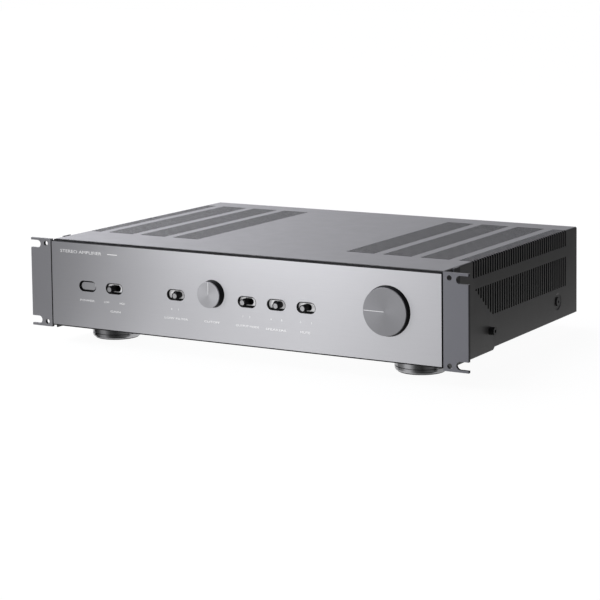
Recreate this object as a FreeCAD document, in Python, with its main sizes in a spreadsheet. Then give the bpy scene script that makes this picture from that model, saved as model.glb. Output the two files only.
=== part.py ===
import FreeCAD, Part
import math
import os
import Sketcher
from FreeCAD import Vector, Placement, Rotation

# Rack-width integrated amplifier.  Millimetres, +X right, +Y towards the rear,
# +Z up, origin at the bottom centre of the whole amplifier.  The modelling
# coordinates below put y = 0 just behind the front panel's face and z = 0 on the
# rack ears' lower edge; add_part shifts every piece into the amplifier's frame.

doc = FreeCAD.newDocument("amplifier")
sheet = doc.addObject("Spreadsheet::Sheet", "Dims")

# Driving dimensions: alias, value, note.
CELLS = [
    # outline
    ("rack_width", 482.6, "width over the rack ears"),
    ("ear_height", 88.1, "two rack units less clearance"),
    ("ear_thick", 3.0, "ear plate"),
    ("ear_inner", 216.6, "half the gap between the ear plates"),
    ("flange_thick", 1.6, "ear side flange"),
    ("flange_len", 32.0, "ear side flange, front to back"),
    ("slot_level", 38.1, "rack slot above and below the middle of the ear"),
    ("slot_in", 229.2, "inner end of the rack slots"),
    ("slot_width", 7.5, "rack slot width"),
    ("ear_front", 2.8, "front of the ear plates ahead of y = 0"),
    ("lug_x", 222.6, "round ear hole, from the centre"),
    ("lug_level", 39.25, "round ear hole above and below the middle"),
    ("lug_r", 2.4, "round ear hole radius"),
    ("y_mid", 153.5, "amplifier's origin behind y = 0"),
    ("foot_drop", 13.0, "ears' lower edge above the table"),
    # front panel
    ("panel_half", 215.6, "half width of the front panel"),
    ("panel_lo", 2.0, "lower edge"),
    ("panel_hi", 86.75, "upper edge"),
    ("panel_thick", 4.0, "front panel plate"),
    ("panel_proud", 3.0, "front panel face ahead of y = 0"),
    ("panel_cham", 0.6, "front edge chamfer"),
    ("ctrl_z", 44.15, "row of controls above the ears' lower edge"),
    # chassis
    ("sheet_thick", 1.2, "folded sheet steel"),
    ("cover_half", 215.2, "half width of the cover"),
    ("cover_top", 88.0, "top of the cover"),
    ("cover_front", 2.3, "front edge of the cover"),
    ("cover_rear", 300.45, "rear face of the cover's lip"),
    ("cover_edge", 1.35, "lower edge of the cover's sides"),
    ("skirt_edge", -1.1, "lower edge of the front skirt"),
    ("skirt_len", 105.6, "rear end of the front skirt"),
    ("tray_half", 213.9, "half width of the base tray"),
    ("tray_lo", 1.0, "underside of the base tray"),
    ("sub_back", 2.2, "back of the front sub-panel"),
    ("rear_in", 297.75, "inner face of the rear panel"),
    ("rear_out", 299.25, "outer face of the rear panel"),
    # vents
    ("vent_pitch", 5.115, "vent slot pitch"),
    ("vent_slot", 2.8, "vent slot width"),
    ("vent_len", 30.05, "vent slot length"),
    ("vent_bar", 9.05, "bar between vent columns"),
    ("vent_first", 83.6, "inner end of the first vent column"),
    ("vent_front", 60.1, "front of the first slot"),
    ("vent_wrap", 72.05, "lower end of the slots that wrap over the edge"),
    ("vent_side_lo", 32.3, "lower end of the side slots"),
    ("vent_side_hi", 61.7, "upper end of the side slots"),
    ("vent_rows", 42, "number of slots front to back"),
    # slide switches
    ("switch_half", 4.8, "half the distance between the obround's end centres"),
    ("switch_radius", 5.35, "outer end radius of the bezel"),
    ("bezel_wall", 0.5, "bezel wall"),
    ("switch_deep", 3.5, "silver plate below the panel face"),
    ("lever_r", 3.2, "lever radius"),
    ("lever_reach", 5.35, "lever ahead of the panel face"),
    ("lever_throw", 2.15, "lever either side of its middle"),
    ("lever_short", 1.0, "same, on the short-throw switch"),
    ("switch_one", -139.8, "switch positions across the panel"),
    ("switch_two", -67.6, "second switch"),
    ("switch_three", 12.6, "third switch"),
    ("switch_four", 44.6, "fourth switch"),
    ("switch_five", 76.6, "fifth switch"),
    # power button
    ("button_x", -171.9, "button centre"),
    ("button_half", 4.9, "half the distance between end centres"),
    ("button_r", 5.35, "outer end radius of the ring"),
    ("button_ring", 1.1, "ring wall"),
    ("button_gap", 0.15, "running gap round the button"),
    ("button_sunk", 1.8, "button face below the panel face"),
    # knobs
    ("level_x", 161.3, "level knob centre"),
    ("level_z", 48.75, "level knob height"),
    ("level_r", 23.25, "base radius"),
    ("level_face", 21.9, "face radius"),
    ("level_len", 6.2, "face ahead of the panel"),
    ("filter_x", -25.25, "filter knob centre"),
    ("filter_z", 48.9, "filter knob height"),
    ("filter_r", 13.3, "base radius"),
    ("filter_face", 12.4, "face radius"),
    ("filter_len", 8.2, "face ahead of the panel"),
    ("knob_gap", 0.5, "knob skirt off the panel"),
    ("shaft_r", 3.0, "control shaft radius"),
    # feet
    ("foot_x", 171.0, "front foot centre from the middle"),
    ("foot_inner", 146.0, "rear foot centre from the middle"),
    ("foot_front", 43.6, "front foot centre"),
    ("foot_back", 270.0, "rear foot centre"),
    ("foot_r", 24.8, "foot radius"),
    # inside
    ("core_r", 58.0, "transformer radius"),
    ("core_len", 46.0, "transformer height"),
    ("core_y", 112.0, "transformer centre"),
    ("sink_x", 150.0, "inner face of the heatsinks"),
    ("sink_z", 58.0, "heatsink height"),
    ("sink_len", 190.0, "heatsink length"),
    ("board_thick", 1.6, "circuit board"),
    ("post_r", 6.2, "binding post nut radius"),
]
for row, (alias, value, note) in enumerate(CELLS, 1):
    sheet.set("A%d" % row, note)
    sheet.set("B%d" % row, str(value))
    sheet.setAlias("B%d" % row, alias)
doc.recompute()


# Driving sizes ----------------------------------------------------------------

class Size:
    """A driving size: its value now and the expression that gives it."""

    def __init__(self, value, text):
        self.value = float(value)
        self.text = text

    def __add__(self, other):
        other = as_size(other)
        return Size(self.value + other.value, "(%s + %s)" % (self.text, other.text))

    def __radd__(self, other):
        return as_size(other) + self

    def __sub__(self, other):
        other = as_size(other)
        return Size(self.value - other.value, "(%s - %s)" % (self.text, other.text))

    def __rsub__(self, other):
        return as_size(other) - self

    def __mul__(self, other):
        other = as_size(other)
        return Size(self.value * other.value, "(%s * %s)" % (self.text, other.text))

    def __rmul__(self, other):
        return as_size(other) * self

    def __truediv__(self, other):
        other = as_size(other)
        return Size(self.value / other.value, "(%s / %s)" % (self.text, other.text))

    def __neg__(self):
        return as_size(0) - self


def as_size(value):
    if isinstance(value, Size):
        return value
    return Size(value, repr(round(float(value), 6)))


class Cells:
    """The sheet's aliases as attributes."""

    def __getattr__(self, alias):
        return Size(sheet.get(alias), "Dims.%s" % alias)


dims = Cells()


# Solids -----------------------------------------------------------------------

PARTS = []
PLACES = {}
SIDES = (-1, 1)
TURN = {
    "x": Rotation(Vector(0, 1, 0), 90),
    "y": Rotation(Vector(1, 0, 0), -90),
    "z": Rotation(),
}


def bind(obj, prop, size):
    obj.setExpression(prop, as_size(size).text)


def place(obj, x, y, z, turn="z"):
    spot = (as_size(x), as_size(y), as_size(z))
    obj.Placement = Placement(Vector(*[size.value for size in spot]), TURN[turn])
    for axis, size in zip("xyz", spot):
        bind(obj, "Placement.Base.%s" % axis, size)
    PLACES[obj.Name] = spot
    return obj


def mirrored(side, near, far):
    """Left and right ends of a span given outwards from the middle."""
    return (near, far) if side > 0 else (-far, -near)


def box(x0, x1, y0, y1, z0, z1):
    """Box between two corners."""
    obj = doc.addObject("Part::Box", "box")
    bind(obj, "Length", as_size(x1) - x0)
    bind(obj, "Width", as_size(y1) - y0)
    bind(obj, "Height", as_size(z1) - z0)
    return place(obj, x0, y0, z0)


def slab(frame, margin, y0, y1):
    """Box from y0 to y1 over a frame (x0, x1, z0, z1) grown by the margin."""
    x0, x1, z0, z1 = frame
    return box(x0 - margin, x1 + margin, y0, y1, z0 - margin, z1 + margin)


def rod(axis, x, y, z, radius, length):
    """Cylinder that runs along +axis from the point given."""
    obj = doc.addObject("Part::Cylinder", "rod")
    bind(obj, "Radius", radius)
    bind(obj, "Height", length)
    return place(obj, x, y, z, axis)


def rods_y(x, z, *steps):
    """Coaxial rods along +Y; each step is (start y, radius, length)."""
    return [rod("y", x, y, z, radius, length) for y, radius, length in steps]


def rods_z(x, y, *steps):
    """Coaxial rods along +Z; each step is (start z, radius, length)."""
    return [rod("z", x, y, z, radius, length) for z, radius, length in steps]


def side_rod(side, near, far, y, z, radius):
    """Rod across one side of the chassis, its ends given outwards from the middle."""
    return rod("x", mirrored(side, near, far)[0], y, z, radius, far - near)


def taper(axis, x, y, z, start_radius, end_radius, length):
    obj = doc.addObject("Part::Cone", "taper")
    bind(obj, "Radius1", start_radius)
    bind(obj, "Radius2", end_radius)
    bind(obj, "Height", length)
    return place(obj, x, y, z, axis)


def fuse(*objs):
    if len(objs) == 1:
        return objs[0]
    obj = doc.addObject("Part::MultiFuse", "fuse")
    obj.Shapes = list(objs)
    return obj


def cut(base, *tools):
    obj = doc.addObject("Part::Cut", "cut")
    obj.Base = base
    obj.Tool = fuse(*tools)
    return obj


def group(*objs):
    obj = doc.addObject("Part::Compound", "group")
    obj.Links = list(objs)
    return obj


def copies(master, spots):
    """Compound of links to one object."""
    links = []
    for x, y, z in spots:
        link = doc.addObject("App::Link", "copy")
        link.LinkedObject = master
        links.append(place(link, x, y, z))
    return group(*links)


def feature(shape):
    """An object whose shape is made from the sheet's present values."""
    obj = doc.addObject("Part::Feature", "shape")
    obj.Shape = shape
    return obj


def add_part(label, obj):
    """Name a piece and shift it into the amplifier's frame."""
    x, y, z = PLACES.get(obj.Name, (as_size(0),) * 3)
    bind(obj, "Placement.Base.x", x)
    bind(obj, "Placement.Base.y", y - dims.y_mid)
    bind(obj, "Placement.Base.z", z + dims.foot_drop)
    obj.Label = label
    PARTS.append(obj)


# Sketches and bodies ------------------------------------------------------------

def body(name):
    return doc.addObject("PartDesign::Body", name)


def sketch(owner, role, name, offset=0):
    """Sketch on an origin plane.  XZ faces -Y, so its offsets are minus y."""
    profile = owner.newObject("Sketcher::SketchObject", name)
    plane = [item for item in owner.Origin.OriginFeatures if item.Role == role][0]
    profile.AttachmentSupport = [(plane, "")]
    profile.MapMode = "FlatFace"
    offset = as_size(offset)
    if offset.text != "0.0":
        profile.AttachmentOffset = Placement(Vector(0, 0, offset.value), Rotation())
        bind(profile, "AttachmentOffset.Base.z", offset)
    return profile


def constrain(profile, size, *args):
    """Dimension a sketch, bound to the sheet where the size comes from it."""
    size = as_size(size)
    index = profile.addConstraint(Sketcher.Constraint(*args, size.value))
    if "Dims" in size.text:
        profile.setExpression("Constraints[%d]" % index, size.text)


def pin_point(profile, geo, pos, x, y):
    for kind, axis, size in (("DistanceX", -2, as_size(x)), ("DistanceY", -1, as_size(y))):
        if abs(size.value) < 1e-9:
            profile.addConstraint(Sketcher.Constraint("PointOnObject", geo, pos, axis))
        else:
            constrain(profile, size, kind, geo, pos)


def outline(profile, points):
    """Closed straight-sided profile through the points."""
    first = profile.GeometryCount
    count = len(points)
    corners = [Vector(as_size(x).value, as_size(y).value, 0) for x, y in points]
    for i in range(count):
        profile.addGeometry(Part.LineSegment(corners[i], corners[(i + 1) % count]))
    for i in range(count):
        following = first + (i + 1) % count
        profile.addConstraint(Sketcher.Constraint("Coincident", first + i, 2, following, 1))
    for i, (x, y) in enumerate(points):
        pin_point(profile, first + i, 1, x, y)


def rect(profile, x0, x1, y0, y1):
    outline(profile, [(x0, y0), (x1, y0), (x1, y1), (x0, y1)])


def circle(profile, x, y, radius):
    centre = Vector(as_size(x).value, as_size(y).value, 0)
    geo = profile.addGeometry(Part.Circle(centre, Vector(0, 0, 1), as_size(radius).value))
    constrain(profile, radius, "Radius", geo)
    pin_point(profile, geo, 3, x, y)


def obround(profile, x, y, half, radius):
    """Slot shape: half is from its middle to each end's centre."""
    left, right = as_size(x) - half, as_size(x) + half
    level, reach = as_size(y).value, as_size(radius).value

    def arc(centre_x, start, end):
        end_circle = Part.Circle(Vector(centre_x, level, 0), Vector(0, 0, 1), reach)
        return profile.addGeometry(Part.ArcOfCircle(end_circle, start, end))

    def line(height):
        return profile.addGeometry(Part.LineSegment(Vector(left.value, height, 0),
                                                    Vector(right.value, height, 0)))

    left_arc = arc(left.value, math.pi / 2, 1.5 * math.pi)
    right_arc = arc(right.value, -math.pi / 2, math.pi / 2)
    upper = line(level + reach)
    lower = line(level - reach)
    for ends in ((left_arc, 1, upper, 1), (left_arc, 2, lower, 1),
                 (right_arc, 1, lower, 2), (right_arc, 2, upper, 2)):
        profile.addConstraint(Sketcher.Constraint("Tangent", *ends))
    constrain(profile, radius, "Radius", left_arc)
    profile.addConstraint(Sketcher.Constraint("Equal", left_arc, right_arc))
    pin_point(profile, left_arc, 3, left, y)
    constrain(profile, right, "DistanceX", right_arc, 3)


def pad(owner, profile, length, middle=False):
    """Pad against the sketch's normal (to the rear from XZ), or about its plane."""
    step = owner.newObject("PartDesign::Pad", "Pad")
    step.Profile = profile
    bind(step, "Length", length)
    step.Reversed = not middle
    step.Midplane = middle
    owner.Tip = step


def pocket(owner, profile, length, back=False, middle=False):
    """Cut a sketch into the body, and check that it removes something."""
    doc.recompute()
    before = owner.Shape.Volume
    step = owner.newObject("PartDesign::Pocket", "Pocket")
    step.Profile = profile
    bind(step, "Length", length)
    step.Reversed = back
    step.Midplane = middle
    owner.Tip = step
    doc.recompute()
    if owner.Shape.Volume > before - 1e-3:
        raise RuntimeError("pocket %s in %s removes nothing" % (step.Name, owner.Name))


def revolve(owner, profile):
    """Turn a sketch about its vertical axis."""
    step = owner.newObject("PartDesign::Revolution", "Revolution")
    step.Profile = profile
    step.ReferenceAxis = (profile, ["V_Axis"])
    step.Angle = 360
    owner.Tip = step


def turned(name, role, sketch_name, points):
    """Body turned from an outline of (radius, distance along the axis)."""
    owner = body(name)
    profile = sketch(owner, role, sketch_name)
    outline(profile, points)
    revolve(owner, profile)
    return owner


def edge_cut(owner, kind, size, pick):
    """Chamfer or fillet the edges of a body that pick() accepts."""
    doc.recompute()
    base = owner.Tip
    names = ["Edge%d" % i for i, edge in enumerate(base.Shape.Edges, 1) if pick(edge)]
    step = owner.newObject("PartDesign::" + kind, kind)
    step.Base = (base, names)
    bind(step, "Size" if kind == "Chamfer" else "Radius", size)
    owner.Tip = step


def flat_at(edge, axis, value, tol=1e-4):
    return all(abs(getattr(v.Point, axis) - value) < tol for v in edge.Vertexes)


def pierced_obround(name, sketch_name, outer, inner, length, spot):
    """Obround plate with an obround hole; outer and inner are (half, radius)."""
    owner = body(name)
    profile = sketch(owner, "XZ_Plane", sketch_name)
    obround(profile, 0, 0, *outer)
    obround(profile, 0, 0, *inner)
    pad(owner, profile, length)
    return place(owner, *spot)


# Shared places ------------------------------------------------------------------

FACE = -dims.panel_proud                    # front panel's face
SUB_FRONT = FACE + dims.panel_thick         # front of the sub-panel
MID = dims.ear_height / 2
SHEET = dims.sheet_thick
REAR_IN, REAR_OUT = dims.rear_in, dims.rear_out
BED = dims.tray_lo + SHEET                  # floor of the tray
STANDOFF_LEN = 8.0
BOARD_LOW = BED + STANDOFF_LEN              # underside of the flat boards
BOARD_TOP = BOARD_LOW + dims.board_thick

# Slide switches: centre, throw, side the lever is set to.
SWITCHES = [
    (dims.switch_one, dims.lever_throw, -1),
    (dims.switch_two, dims.lever_throw, 1),
    (dims.switch_three, dims.lever_throw, -1),
    (dims.switch_four, dims.lever_throw, 1),
    (dims.switch_five, dims.lever_short, -1),
]
KNOB_CENTRES = [(dims.level_x, dims.level_z), (dims.filter_x, dims.filter_z)]

# Screw centres: (x, z) on the front and rear, (y, z) on the sides.
PANEL_SCREWS = [(x, z) for x in (-195.0, -100.0, 100.0, 195.0) for z in (14.0, 76.0)]
CORNER_SCREWS = [(x, z) for x in (-205.0, 205.0) for z in (10.0, 66.0)]
LIP_SCREWS = [(x, 81.5) for x in (-150.0, 0.0, 150.0)]
FLANGE_SCREWS = [(20.0, 22.0), (20.0, 66.0)]
SIDE_FRONT_SCREW = (96.6, 17.9)
SIDE_REAR_SCREW = (252.7, 19.3)
SIDE_SCREWS = [SIDE_FRONT_SCREW, SIDE_REAR_SCREW]
DISH_DEPTH = 0.7                            # dish in the cover round the rear screw

FOOT_CENTRES = [(side * x, y) for side in SIDES
                for x, y in ((dims.foot_x, dims.foot_front), (dims.foot_inner, dims.foot_back))]

# Rear connectors; frames are (x0, x1, z0, z1).
INLET_FRAME = (150.0, 178.0, 24.0, 72.0)
DRAWER_FRAME = (154.0, 174.0, 55.0, 69.0)
POST_X = (-138.0, -112.0, -76.0, -50.0)
POST_Z = 46.0
TRIGGER_X = (-12.0, 12.0)
TRIGGER_Z = 46.0
PHONO_X = (60.0, 78.0, 96.0, 114.0)
PHONO_Z = (36.0, 56.0)
PHONO_CENTRES = [(x, z) for x in PHONO_X for z in PHONO_Z]


# Front panel --------------------------------------------------------------------

def control_openings(profile, button_r, switch_half, switch_r, shaft_hole_r):
    obround(profile, dims.button_x, dims.ctrl_z, dims.button_half, button_r)
    for x, _, _ in SWITCHES:
        obround(profile, x, dims.ctrl_z, switch_half, switch_r)
    for x, z in KNOB_CENTRES:
        circle(profile, x, z, shaft_hole_r)


def front_panel():
    """Plate with a chamfered front edge and one opening for each control."""
    panel = body("front_panel_body")
    profile = sketch(panel, "XZ_Plane", "panel_outline")
    rect(profile, -dims.panel_half, dims.panel_half, dims.panel_lo, dims.panel_hi)
    pad(panel, profile, dims.panel_thick)
    edge_cut(panel, "Chamfer", dims.panel_cham, lambda edge: flat_at(edge, "y", 0))
    profile = sketch(panel, "XZ_Plane", "panel_openings")
    control_openings(profile, button_r=dims.button_r, switch_half=dims.switch_half,
                     switch_r=dims.switch_radius, shaft_hole_r=4.0)
    pocket(panel, profile, dims.panel_thick)
    return place(panel, 0, FACE, 0)


def front_subpanel():
    """Sheet steel behind the panel, with clearance for stems and bushings.  Its
    square upper corners stand in front of the cover."""
    top_gap = 0.2
    screw_hole_r = 1.6
    panel = body("front_subpanel_body")
    profile = sketch(panel, "XZ_Plane", "subpanel_outline")
    rect(profile, -dims.cover_half, dims.cover_half, dims.panel_lo, dims.cover_top - top_gap)
    pad(panel, profile, SHEET)
    profile = sketch(panel, "XZ_Plane", "subpanel_openings")
    control_openings(profile, button_r=5.0, switch_half=3.4, switch_r=2.6, shaft_hole_r=3.6)
    for x, z in PANEL_SCREWS:
        circle(profile, x, z, screw_hole_r)
    pocket(panel, profile, SHEET)
    return place(panel, 0, SUB_FRONT, 0)


def front_panel_screws():
    """Screws behind the sub-panel: shank, then head."""
    return group(*[fuse(*rods_y(x, z, (SUB_FRONT, 1.5, SHEET), (dims.sub_back, 2.8, 2.0)))
                   for x, z in PANEL_SCREWS])


# Rack ears ----------------------------------------------------------------------

def rack_ear(side):
    """Plate with two open slots and two round holes, and a flange folded back
    along the chassis side, relieved at the top of the fold."""
    flange_start = 1.2          # behind the plate's front face
    flange_low, flange_over = 4.4, 0.1
    slot_half = 10.0            # runs out through the ear's outer edge
    relief_rear, relief_deep = 20.5, 4.6
    screw_hole_r = 2.1
    edge_r = 0.5

    ear = body("ear_body")
    tip = dims.rack_width / 2
    profile = sketch(ear, "XZ_Plane", "ear_plate")
    rect(profile, *mirrored(side, dims.ear_inner, tip), 0, dims.ear_height)
    pad(ear, profile, dims.ear_thick)

    profile = sketch(ear, "XZ_Plane", "ear_flange", -flange_start)
    rect(profile, *mirrored(side, dims.ear_inner - dims.flange_thick / 2,
                            dims.ear_inner + dims.flange_thick / 2),
         flange_low, dims.ear_height + flange_over)
    pad(ear, profile, dims.flange_len - flange_start)

    profile = sketch(ear, "XZ_Plane", "ear_openings")
    slot_r = dims.slot_width / 2
    for level in (-1, 1):
        obround(profile, side * (dims.slot_in + slot_r + slot_half),
                MID + level * dims.slot_level, slot_half, slot_r)
        circle(profile, side * dims.lug_x, MID + level * dims.lug_level, dims.lug_r)
    pocket(ear, profile, dims.ear_thick)

    profile = sketch(ear, "YZ_Plane", "ear_relief", side * dims.ear_inner)
    rect(profile, dims.ear_thick, relief_rear,
         dims.ear_height - relief_deep, dims.ear_height + 1.0)
    for y, z in FLANGE_SCREWS:
        circle(profile, y + dims.ear_front, z, screw_hole_r)
    pocket(ear, profile, dims.flange_thick * 2, middle=True)
    edge_cut(ear, "Fillet", edge_r,
             lambda edge: flat_at(edge, "y", 0) and flat_at(edge, "x", side * tip.value))
    return place(ear, 0, -dims.ear_front, 0)


def side_screw(side, y, z, seat, head_r, head_len, socket_r, socket_from, socket_len):
    """Screw into a chassis side; the head sits at x = seat, outwards from the
    middle, and the socket starts socket_from further out."""
    shank_r = 2.0
    shank_end = dims.tray_half - 3.6
    head = side_rod(side, seat, seat + head_len, y, z, head_r)
    shank = side_rod(side, shank_end, seat, y, z, shank_r)
    socket_start = seat + socket_from
    socket = side_rod(side, socket_start, socket_start + socket_len, y, z, socket_r)
    return cut(fuse(head, shank), socket)


def rack_ear_screws():
    """Low-headed screws through each flange into the tray's sides."""
    seat = dims.ear_inner + dims.flange_thick / 2
    return group(*[side_screw(side, y, z, seat, head_r=3.4, head_len=1.6,
                              socket_r=1.2, socket_from=0.6, socket_len=1.0)
                   for side in SIDES for y, z in FLANGE_SCREWS])


# Cover --------------------------------------------------------------------------

def cover_shell():
    """Folded cover: top, two sides with a deeper skirt at the front, a rear lip."""
    lip_inset = 12.0            # lip's ends in from the cover's sides
    lip_drop = 10.5
    fold_r = 1.6
    half, top, low = dims.cover_half, dims.cover_top, dims.cover_edge

    cover = body("cover_body")
    profile = sketch(cover, "XZ_Plane", "cover_section", -dims.cover_front)
    outline(profile, [
        (-half, low), (-half, top), (half, top), (half, low),
        (half - SHEET, low), (half - SHEET, top - SHEET),
        (-(half - SHEET), top - SHEET), (-(half - SHEET), low),
    ])
    pad(cover, profile, dims.cover_rear - dims.cover_front)

    profile = sketch(cover, "XZ_Plane", "cover_lip", -REAR_OUT)
    rect(profile, -(half - lip_inset), half - lip_inset, top - lip_drop, top - SHEET / 2)
    pad(cover, profile, dims.cover_rear - REAR_OUT)

    for side in SIDES:
        profile = sketch(cover, "YZ_Plane", "skirt", side * (half - SHEET / 2))
        outline(profile, [
            (dims.cover_front, dims.skirt_edge), (dims.skirt_len - 3.0, dims.skirt_edge),
            (dims.skirt_len, 1.0), (dims.skirt_len, 4.0), (dims.cover_front, 4.0),
        ])
        pad(cover, profile, SHEET, middle=True)

    def top_fold(edge):
        on_side = any(flat_at(edge, "x", side * half.value, 1e-3) for side in SIDES)
        return on_side and flat_at(edge, "z", top.value, 1e-3) and edge.Length > 50

    edge_cut(cover, "Fillet", fold_r, top_fold)
    return cover


def vent_cutters():
    """Three columns each side of the top, slots that wrap over both top edges and
    a lower row down each side whose front end is cut off on the diagonal."""
    diagonal_front = 64.2       # y where the diagonal meets the slots' upper end
    diagonal_run = 36.6         # from there back to full-length slots
    shortest = 1.5
    wrap_width = 20.0
    through_top, through_side = 4.0, 5.0

    width, length = dims.vent_slot.value, dims.vent_len.value
    low, high = dims.vent_side_lo.value, dims.vent_side_hi.value
    half, top = dims.cover_half.value, dims.cover_top.value
    columns = [dims.vent_first.value + i * (length + dims.vent_bar.value) for i in range(4)]
    cutters = []
    for row in range(int(dims.vent_rows.value)):
        y = dims.vent_front.value + row * dims.vent_pitch.value
        # inner x, outer x, lower z, upper z
        slots = [(x, x + length, top - through_top, top + through_top) for x in columns[:3]]
        slots.append((columns[3], columns[3] + wrap_width, dims.vent_wrap.value, top + 2.0))
        behind = y + width / 2 - diagonal_front
        start = max(low, high - behind * (high - low) / diagonal_run)
        if high - start > shortest:
            slots.append((half - through_side, half + through_side, start, high))
        for side in SIDES:
            for near, far, bottom, ceiling in slots:
                x0, x1 = mirrored(side, near, far)
                cutters.append(Part.makeBox(x1 - x0, width, ceiling - bottom,
                                            Vector(x0, y, bottom)))
    vents = feature(Part.makeCompound(cutters))
    vents.Label = "vent_cutters"
    return vents


def top_cover():
    hole_r, lip_hole_r = 2.1, 1.7
    through = 6.0               # side drills run this far each way from the side
    dish_radii = (7.0, 9.1)     # inner end, outer end
    dish_over = 0.2             # dish cutter beyond the cover's side

    cover = cover_shell()
    doc.recompute()
    shell = doc.addObject("Part::Cut", "cover_vented")
    shell.Base = cover
    shell.Tool = vent_cutters()

    half = dims.cover_half
    holes = []
    for side in SIDES:
        for y, z in SIDE_SCREWS:
            holes.append(side_rod(side, half - through, half + through, y, z, hole_r))
        dish_x = mirrored(side, half - DISH_DEPTH, half + dish_over)[0]
        holes.append(taper("x", dish_x, *SIDE_REAR_SCREW, *dish_radii[::side],
                           DISH_DEPTH + dish_over))
        for y, z in FLANGE_SCREWS:
            holes.append(side_rod(side, half - through, half + through, y, z, hole_r))
    for x, z in LIP_SCREWS:
        holes.append(rod("y", x, REAR_OUT - 1.0, z, lip_hole_r, 5.0))
    return cut(shell, *holes)


def rear_screw(x, z, seat):
    """Screw through the rear panel with its head on the face at y = seat."""
    shank_start = REAR_IN - 4.0
    solid = fuse(*rods_y(x, z, (seat, 2.8, 1.6), (shank_start, 1.5, seat - shank_start)))
    return cut(solid, *rods_y(x, z, (seat + 0.7, 0.9, 2.0)))


def case_screws():
    """Socket-cap screws at the front of each side, low heads in the dishes, and
    screws through the rear lip and the rear panel's corners."""
    # centre, seat, head radius, head length, socket radius
    kinds = [
        (SIDE_FRONT_SCREW, dims.cover_half, 3.8, 5.2, 1.6),
        (SIDE_REAR_SCREW, dims.cover_half - DISH_DEPTH, 4.6, 1.6, 1.25),
    ]
    screws = []
    for side in SIDES:
        for (y, z), seat, head_r, head_len, socket_r in kinds:
            screws.append(side_screw(side, y, z, seat, head_r, head_len, socket_r,
                                     socket_from=head_len * 0.5, socket_len=head_len))
    screws += [rear_screw(x, z, dims.cover_rear) for x, z in LIP_SCREWS]
    screws += [rear_screw(x, z, REAR_OUT) for x, z in CORNER_SCREWS]
    return group(*screws)


# Base tray and rear panel -------------------------------------------------------

def base_tray():
    wall_top = 74.0
    tab_inner = 196.0
    tab_levels = ((dims.tray_lo + SHEET / 2, 16.0), (60.0, 72.0))
    tab_hole_r, side_hole_r = 1.55, 2.05
    foot_hole_r, core_hole_r = 2.1, 3.2
    window = (44.0, 280.0, 28.0, 80.0)      # y0, y1, z0, z1
    both_sides = 600.0                      # pocket through both walls
    vent_x, vent_first, vent_pitch, vent_count = 175.0, 92.0, 12.0, 12
    vent_half, vent_r = 14.0, 1.8
    half, low = dims.tray_half, dims.tray_lo

    tray = body("base_tray_body")
    profile = sketch(tray, "XZ_Plane", "tray_section", -dims.sub_back)
    outline(profile, [
        (-half, low), (half, low), (half, wall_top), (half - SHEET, wall_top),
        (half - SHEET, low + SHEET), (-(half - SHEET), low + SHEET),
        (-(half - SHEET), wall_top), (-half, wall_top),
    ])
    pad(tray, profile, REAR_IN - dims.sub_back)

    # tabs at the rear corners that the rear panel screws into
    profile = sketch(tray, "XZ_Plane", "rear_tabs", -(REAR_IN - SHEET))
    for side in SIDES:
        for z0, z1 in tab_levels:
            rect(profile, *mirrored(side, tab_inner, half - SHEET / 2), z0, z1)
    pad(tray, profile, SHEET)
    profile = sketch(tray, "XZ_Plane", "tab_holes", -(REAR_IN - SHEET))
    for x, z in CORNER_SCREWS:
        circle(profile, x, z, tab_hole_r)
    pocket(tray, profile, SHEET)

    # window in each side wall for the side vents
    profile = sketch(tray, "YZ_Plane", "side_windows")
    rect(profile, *window)
    pocket(tray, profile, both_sides, middle=True)
    profile = sketch(tray, "YZ_Plane", "side_holes")
    for y, z in SIDE_SCREWS + FLANGE_SCREWS:
        circle(profile, y, z, side_hole_r)
    pocket(tray, profile, both_sides, middle=True)

    # floor vents below the heatsinks, holes for the feet and the transformer
    profile = sketch(tray, "XY_Plane", "floor_openings", low)
    for side in SIDES:
        for i in range(vent_count):
            obround(profile, side * vent_x, vent_first + vent_pitch * i, vent_half, vent_r)
    for x, y in FOOT_CENTRES:
        circle(profile, x, y, foot_hole_r)
    circle(profile, 0.0, dims.core_y, core_hole_r)
    pocket(tray, profile, 4.0, back=True)
    return tray


def rear_panel():
    post_hole_r, phono_hole_r, trigger_hole_r, screw_hole_r = 5.0, 4.6, 3.1, 1.6
    panel = body("rear_panel_body")
    profile = sketch(panel, "XZ_Plane", "rear_outline", -REAR_IN)
    rect(profile, -dims.tray_half, dims.tray_half, dims.tray_lo, dims.cover_top - SHEET)
    pad(panel, profile, REAR_OUT - REAR_IN)
    profile = sketch(panel, "XZ_Plane", "rear_openings", -REAR_IN)
    rect(profile, *INLET_FRAME)
    for x in POST_X:
        circle(profile, x, POST_Z, post_hole_r)
    for x, z in PHONO_CENTRES:
        circle(profile, x, z, phono_hole_r)
    for x in TRIGGER_X:
        circle(profile, x, TRIGGER_Z, trigger_hole_r)
    for x, z in CORNER_SCREWS + LIP_SCREWS:
        circle(profile, x, z, screw_hole_r)
    pocket(panel, profile, 3.0)
    return panel


# Feet: one master of each, z = 0 under the tray, copied to the four places --------

FOOT_SPOTS = [(x, y, dims.tray_lo) for x, y in FOOT_CENTRES]
FOOT_PAD_IN = dims.foot_r - 6.8
FOOT_PAD_OUT = dims.foot_r - 3.0


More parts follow.
